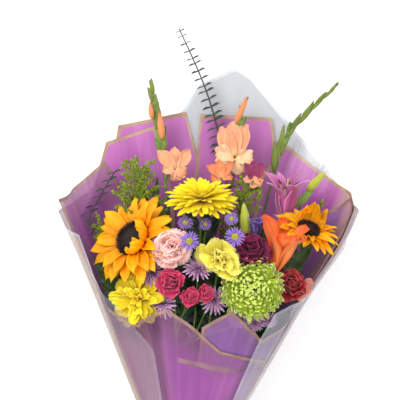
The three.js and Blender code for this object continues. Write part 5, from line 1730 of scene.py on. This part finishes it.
def spike(name, route, buds, peach, extras, seed):
    """extras lists single buds: root, direction, length, radius, material and shade."""
    dice = random.Random(seed)
    count, first, last, long, short, thick = buds
    stem, _ = rounded_copy(name + "_spike", stem_green, name + "_stalk")
    line = smooth_route([spot(*point) for point in route])
    tip = ([on_route(line, share)[0] for share in (0.3, 0.5, 0.7, 0.85, 1)], 2.4, 0.8)
    parts = [stem, stalks("tip", [tip], stem_green)]
    green_bud = bud(long, thick, bud_skin)
    peach_bud = bud(long, 1.15 * thick, peach_bud_skin)
    sheath = blade(0.92 * long, 2.6 * thick, SHEATH, (4, -2), sheath_skin, cup=0.5, rounded=0)
    for index in range(count):
        share = index / (count - 1)
        at, heading = on_route(line, first + (last - first) * share)
        side = Vector((1 if index % 2 else -1, 0, 0.5)).normalized()
        scale = 1 + (short / long - 1) * share
        start = at + side * 0.45 * thick * scale * MM
        inner = aimed(start, heading + side * 0.13, scale=scale)
        parts.append(set_out(peach_bud if index in peach else green_bud, inner, dice.random()))
        start += side * 0.4 * thick * scale * MM
        outer = aimed(start, heading + side * 0.17, up=-side, scale=scale)
        parts.append(set_out(sheath, outer, dice.random()))
    for root, along, length, radius, skin, shade in extras:
        shape = bud(length, radius, skin)
        parts.append(set_out(shape, aimed(spot(*root), along), shade))
    hand_over(join_all(name + "_buds", parts), name + "_spike")


for index, (name, values) in enumerate(SPIKES.items()):
    spike(name, *values, seed=200 + index)

# %% [markdown]
# ## Asters and quilled daisies
# Both are little daisies on a branched stem. The asters have two rows of flat violet rays, 32 in
# all, round a yellow-green eye. The mauve ones have many thin quills that stand up like a brush.

# %% Daisy sprays
aster_ray = petal_material(
    "aster ray", (120, 86, 180), (146, 112, 200), (170, 140, 216), (160, 128, 208),
    root_end=0.3, veins=2, spread=0.4,
)
aster_eye = petal_material(
    "aster eye", (120, 130, 30), (206, 204, 60), (232, 222, 90), (220, 214, 80),
    root_end=0.5, veins=2, mottle=0.6, spread=0.6,
)
mauve_quill = petal_material(
    "mauve quill", (164, 104, 158), (208, 156, 202), (240, 214, 238), (224, 186, 220), veins=2, spread=0.5
)
EYE_GRAINS = 26


def eye(radius, height, dice):
    """A dome set with grains by the golden angle."""
    dome = new_template(
        bpy.ops.mesh.primitive_uv_sphere_add, aster_eye, segments=12, ring_count=6, radius=radius * MM
    )
    speck = new_template(
        bpy.ops.mesh.primitive_ico_sphere_add, aster_eye, subdivisions=1, radius=0.17 * radius * MM
    )
    parts = [set_out(dome, Matrix.Diagonal((1, 1, height / radius, 1)), 0)]
    for index in range(EYE_GRAINS):
        share = (index + 0.5) / EYE_GRAINS
        angle = index * GOLDEN_ANGLE
        flat = radius * math.sqrt(share) * 0.95
        up = height * math.sqrt(max(0, 1 - share)) + 0.05 * radius
        at = Matrix.Translation(Vector((flat * math.cos(angle), flat * math.sin(angle), up)) * MM)
        parts.append(set_out(speck, at, dice.random()))
    return parts


def twig_path(start, name, depth):
    at, facing = HEADS[name]
    up = Vector(facing).normalized()
    base = spot(*at) - up * depth * MM
    neck = base - up * 16 * MM
    bend = start.lerp(neck, 0.55)
    bend.z = start.z + 0.35 * (neck.z - start.z)
    return [start, bend, neck, base]


def aster_head(size, dice):
    ray = blade(0.74 * size, 0.17 * size, RAY, (10, 0), aster_ray, across=2, along=4, cup=0.15)
    short = blade(0.6 * size, 0.16 * size, RAY, (34, 16), aster_ray, across=2, along=4, cup=0.15)
    parts = ring(ray, 20, 0.26 * size, -0.5, dice, size=0.08)
    parts += ring(short, 12, 0.24 * size, 0, dice, turn=0.5)
    return parts + eye(0.34 * size, 0.2 * size, dice)


def mauve_head(size, dice):
    parts = []
    for count, start, length, rise in [
        (20, 0.2, 0.86, (14, 6)), (18, 0.16, 0.74, (34, 24)), (14, 0.1, 0.56, (54, 46)),
        (9, 0.05, 0.4, (74, 70)),
    ]:
        quill = blade(length * size, 0.15 * size, QUILL, rise, mauve_quill, across=2, along=4, cup=0.5)
        parts += ring(quill, count, start * size, -1, dice, turn=dice.random(), tilt=9, twist=10)
    return parts


def daisy_spray(node, name, cut, build, heads):
    stem, end = rounded_copy(node, stem_green, name, cut=cut)
    paths = [(twig_path(end, head, 1), 1.5, 1.0) for head in heads]
    parts = [stem, stalks("twigs", paths, stem_green)]
    for index, (head, size) in enumerate(heads.items()):
        for part in build(size, random.Random(300 + index + cut)):
            part.data.transform(head_pose(*HEADS[head]))
            parts.append(part)
    spray = join_all(name, parts)
    smooth(spray)
    hand_over(spray, node)


daisy_spray("aster_spray", "aster_heads", 300, aster_head, {
    "aster_a": 15, "aster_b": 15, "aster_c": 12, "aster_d": 11, "aster_e": 10,
})
daisy_spray("mauve_daisy_spray", "mauve_heads", 225, mauve_head, {
    "mauve_a": 23, "mauve_b": 22, "mauve_c": 22, "mauve_d": 22, "mauve_e": 15, "mauve_f": 14,
    "mauve_g": 13,
})

# %% [markdown]
# ## Goldenrod
# Goldenrod is a plume of thin arching twigs, each crowded with florets no bigger than a pinhead.
# One floret of twenty faces is copied thousands of times, and a few narrow leaves sit below. A
# twig that would reach through the film is shortened until it fits.

# %% Goldenrod
floret_skin = petal_material(
    "goldenrod floret", (92, 122, 24), (146, 164, 34), (220, 206, 60), (166, 176, 44),
    root_end=0.5, rim_width=0.0, veins=1, vein_depth=0.05, mottle=0.4, spread=0.75,
)
narrow_leaf = petal_material(
    "narrow leaf", (52, 82, 30), (72, 108, 40), (96, 128, 54), (88, 120, 50),
    root_end=0.3, veins=3, vein_depth=0.15, mottle=0.3, spread=0.5,
)
PLUME_ROOM = 0.93
GOLDENRODS = {
    "goldenrod_left": ([(-50, 360, 64), (-66, 420, 79), (-72, 480, 77)], 38, 54, 91, 350, 0.05),
    "goldenrod_far_left": ([(-84, 280, 59), (-112, 340, 69), (-128, 392, 71)], 38, 40, 92, 270, -0.45),
    "goldenrod_centre": ([(60, 370, 75), (88, 430, 86), (98, 470, 84)], 26, 36, 93, 360, 0.0),
    "goldenrod_right": ([(140, 300, 65), (186, 370, 75), (208, 425, 71)], 14, 26, 94, 290, 0.0),
}


def goldenrod(node, route, plumes, reach, seed, cut, bias):
    """bias turns the twigs to one side: below 0 to the left, above 0 to the right."""
    dice = random.Random(seed)
    stem, end = rounded_copy(node, stem_green, node + "_stalk", cut=cut)
    line = route_from_cut(end, cut, route)
    paths = [([on_route(line, share)[0] for share in (0, 0.3, 0.6, 0.85, 1)], 1.6, 0.6)]
    florets = []
    floret = new_template(
        bpy.ops.mesh.primitive_ico_sphere_add, floret_skin, subdivisions=1, radius=1.25 * MM
    )
    floret.data.transform(Matrix.Diagonal((1, 1.9, 1, 1)))
    leaf = blade(26, 4.4, LANCE_LEAF, (20, -20), narrow_leaf, across=2, along=6, cup=0.2, rounded=0)
    for index in range(plumes):
        share = 0.1 + 0.9 * index / (plumes - 1)
        at, heading = on_route(line, share)
        angle = math.radians(137 * index + dice.uniform(-25, 25))
        side = Vector((math.cos(angle) + bias, 0.0, 0.6 * math.sin(angle) + 0.15)).normalized()
        length = reach * (1.2 - 0.6 * share) * dice.uniform(0.75, 1.1) * MM
        sweep = heading * 0.7 + side * 0.8
        while not in_wrap(at + sweep * length, PLUME_ROOM) and at.y < spot(0, MOUTH, 0).y:
            length *= 0.85
        bend = at + (heading * 0.42 + side * 0.3) * length
        tip = at + sweep * length
        if index == plumes - 1:
            bend, tip = at + heading * length * 0.5, at + heading * length
        paths.append(([at, bend, tip], 0.6, 0.35))
        twig = smooth_route([at, bend, tip], 24)
        number = int(62 * length / (30 * MM))
        for place in range(number):
            where, way = on_route(twig, 0.08 + 0.92 * place / number)
            around = Vector((dice.gauss(0, 1), dice.gauss(0, 1), dice.gauss(0, 1)))
            matrix = aimed(where + around * 1.7 * MM, way + around * 0.35, scale=dice.uniform(0.6, 1.15))
            florets.append(set_out(floret, matrix, dice.random()))
    for index in range(7):
        at, heading = on_route(line, 0.05 + 0.09 * index)
        angle = math.radians(150 * index + 40)
        side = Vector((math.cos(angle), 0.35, 0.6 * math.sin(angle)))
        florets.append(set_out(leaf, aimed(at, heading + side), dice.random()))
    plume = join_all(node + "_plumes", [stem, stalks("twigs", paths, stem_green)] + florets)
    hand_over(plume, node)


for node, values in GOLDENRODS.items():
    goldenrod(node, *values)

# %% [markdown]
# ## Eucalyptus
# The leaves stand in opposite pairs at even steps. They are turned partly edge-on to the camera,
# so that each pair looks like a slim stroke across the stem.

# %% Eucalyptus
eucalyptus_skin = petal_material(
    "eucalyptus leaf", (36, 48, 44), (54, 70, 62), (80, 96, 84), (64, 76, 68),
    root_end=0.3, veins=3, mottle=0.3, spread=0.4, roughness=0.6,
)
eucalyptus_stem = green_material("eucalyptus stem", (46, 50, 44), (78, 82, 70))


def eucalyptus(node, route, pairs, first, last, size, slope, cut):
    dice = random.Random(len(node))
    stem, end = rounded_copy(node, eucalyptus_stem, node + "_stalk", cut=cut)
    line = route_from_cut(end, cut, route)
    path = ([on_route(line, index / 8)[0] for index in range(9)], 1.9, 0.9)
    parts = [stem, stalks("stalk", [path], eucalyptus_stem)]
    leaf = blade(18, 8.4, OVAL_LEAF, (8, -10), eucalyptus_skin, across=4, along=6, cup=0.12)
    across = Vector((math.cos(math.radians(slope)), math.sin(math.radians(slope)), 0))
    for index in range(pairs):
        share = index / (pairs - 1)
        at, heading = on_route(line, first + (last - first) * share)
        scale = size / 18 * (1.05 - 0.55 * share)
        for hand in (-1, 1):
            along = across * hand + Vector((0, 0.1, dice.uniform(-0.1, 0.2)))
            up = heading + Vector((0, 0, dice.uniform(0.3, 0.75)))
            parts.append(set_out(leaf, aimed(at, along, up=up, scale=scale), dice.random()))
    piece = join_all(node + "_leaves", parts)
    tuck_in(piece, MOUTH)
    hand_over(piece, node)


eucalyptus(
    "eucalyptus_top", [(50, 400, 22), (58, 500, 24), (42, 576, 28), (23, 630, 35), (-11, 704, 46)],
    18, 0.4, 0.985, 19, 24, 380,
)
eucalyptus(
    "eucalyptus_left", [(-100, 300, 44), (-146, 390, 68), (-134, 435, 52), (-108, 482, 38)],
    11, 0.3, 0.985, 25, 22, 290,
)

# %% [markdown]
# ## Broad leaves
# Two sprays of broad leaves stand behind the blooms at either side. They carry more leaves than
# the CAD solids show. Each leaf runs from the stalk to a tip of its own, and the later ones in
# the list start lower down.

# %% Leaf sprays
LEAF_SPRAYS = {
    "leaf_spray_left": ((-62, 330, 107), 262, [
        ((-116, 306, 84), 30), ((-34, 356, 118), 26), ((-46, 268, 106), 26), ((-104, 352, 96), 24),
        ((-74, 384, 104), 22), ((-18, 330, 112), 22), ((-92, 276, 88), 24), ((-30, 296, 122), 20),
        ((-122, 334, 92), 22), ((-106, 284, 92), 20), ((-124, 362, 88), 20), ((-98, 262, 96), 18),
        ((-164, 360, 108), 26), ((-158, 336, 110), 28), ((-152, 312, 110), 26), ((-144, 288, 110), 26),
        ((-132, 262, 110), 24), ((-66, 474, 64), 26), ((-42, 478, 66), 24), ((-84, 456, 68), 26),
        ((-22, 452, 74), 22),
    ]),
    "leaf_spray_right": ((146, 338, 114), 262, [
        ((180, 330, 100), 28), ((156, 278, 100), 26), ((118, 392, 112), 24), ((196, 370, 96), 22),
        ((160, 392, 98), 22), ((128, 280, 104), 24), ((104, 350, 112), 20), ((166, 304, 96), 22),
    ]),
}
for index, (node, (top, cut, leaves)) in enumerate(LEAF_SPRAYS.items()):
    dice = random.Random(400 + index)
    stem, end = rounded_copy(node, stem_green, node + "_stalk", cut=cut)
    line = smooth_route([end, spot(*top)])
    path = ([on_route(line, share)[0] for share in (0, 0.5, 1)], 1.6, 1.1)
    parts = [stem, stalks("stalk", [path], stem_green)]
    for number, (tip, width) in enumerate(leaves):
        at, _ = on_route(line, max(0.3, 0.98 - 0.08 * number))
        along = spot(*tip) - at
        leaf = blade(along.length / MM, width, BROAD_LEAF, (16, -22), broad_green,
                     across=8, along=12, cup=0.16, wave=0.05, waves=5, rounded=0)
        parts.append(set_out(leaf, aimed(at, along), dice.random()))
    spray = join_all(node + "_leaves", parts)
    ruffle_rims(spray, 2, fine_ruffles)
    smooth(spray)
    tuck_in(spray, MOUTH)
    hand_over(spray, node)

# %% [markdown]
# ## Stamens of the pink lily
# Thin green filaments spread from the throat, and each ends in a dark anther that balances
# across it. A longer pistil stands in the middle.

# %% Stamens
anther_skin = petal_material(
    "anther", (70, 20, 16), (96, 34, 22), (120, 52, 30), (110, 44, 26),
    rim_width=0.0, veins=2, vein_depth=0.2, mottle=0.5, roughness=0.8,
)
filament_green = green_material("filament green", (176, 190, 110), (206, 214, 150))
pose = head_pose(*HEADS["pink_lily"])


def in_lily(turn, out, up):
    return pose @ ((turn * out + Vector((0, 0, up))) * MM)


FILAMENTS = 6
ANTHER = 10
pistil = [pose @ (Vector(place) * MM) for place in ((0, 0, 7), (0.5, 1, 34), (1, 2, 66))]
paths = [(pistil, 1.1, 1.4)]
anther = bud(ANTHER, 1.7, anther_skin, segments=8)
parts = []
for index in range(FILAMENTS):
    angle = math.tau * (index + 0.25) / FILAMENTS
    turn = Vector((math.cos(angle), math.sin(angle), 0))
    top = in_lily(turn, 14.5, 58 - 5 * (index % 2))
    paths.append(([in_lily(turn, 0.6, 8), in_lily(turn, 4, 30), top], 0.75, 0.5))
    across = (pose.to_3x3() @ (turn * 0.8 + Vector((0, 0, 0.6)))).normalized()
    parts.append(set_out(anther, aimed(top - across * 0.46 * ANTHER * MM, across), 0.5))
parts.append(stalks("filaments", paths, filament_green))
hand_over(join_all("pink_lily_filaments", parts), "pink_lily_stamens")

# %% [markdown]
# ## The tie
# The photo ends above the tie. A few turns of natural twine are the usual choice, and they
# follow the squarish section of the gathered film. The path is a helix on the wrapper's shape.

# %% Tie
twine, tree, shader = new_material("twine", 0.85)
inputs = {"Vector": object_place(tree), "Scale": 320, "Distortion": 2.0, "Detail": 2.0}
wave = value_node(tree, "ShaderNodeTexWave", inputs, bands_direction="DIAGONAL")
ply = wave.outputs["Fac"]
colour = blend_colours(tree, ply, linear(150, 116, 74), linear(206, 176, 128))
tree.links.new(colour, shader.inputs["Base Color"])
add_bump(tree, shader, ply, 0.6, 0.0005)
TURNS = 4
STEPS_PER_TURN = 40
TIE_HEIGHT = 6.2
TWINE = 1.02
path = []
for step in range(TURNS * STEPS_PER_TURN + 1):
    y = TIE_HEIGHT * (step / (TURNS * STEPS_PER_TURN) - 0.5)
    place = wrap_points(360 * step / STEPS_PER_TURN, y, film_stack(np.float64(y)) + 1.5)
    path.append(spot(*[float(value) for value in place]))
hand_over(stalks("twine_tie", [(path, TWINE, TWINE)], twine), "tie_band")

# %% [markdown]
# ## Finish
# The view layer is brought up to date at the end. The finished flowers have to stay where the frame
# put them.

# %% Finish
bpy.context.view_layer.update()
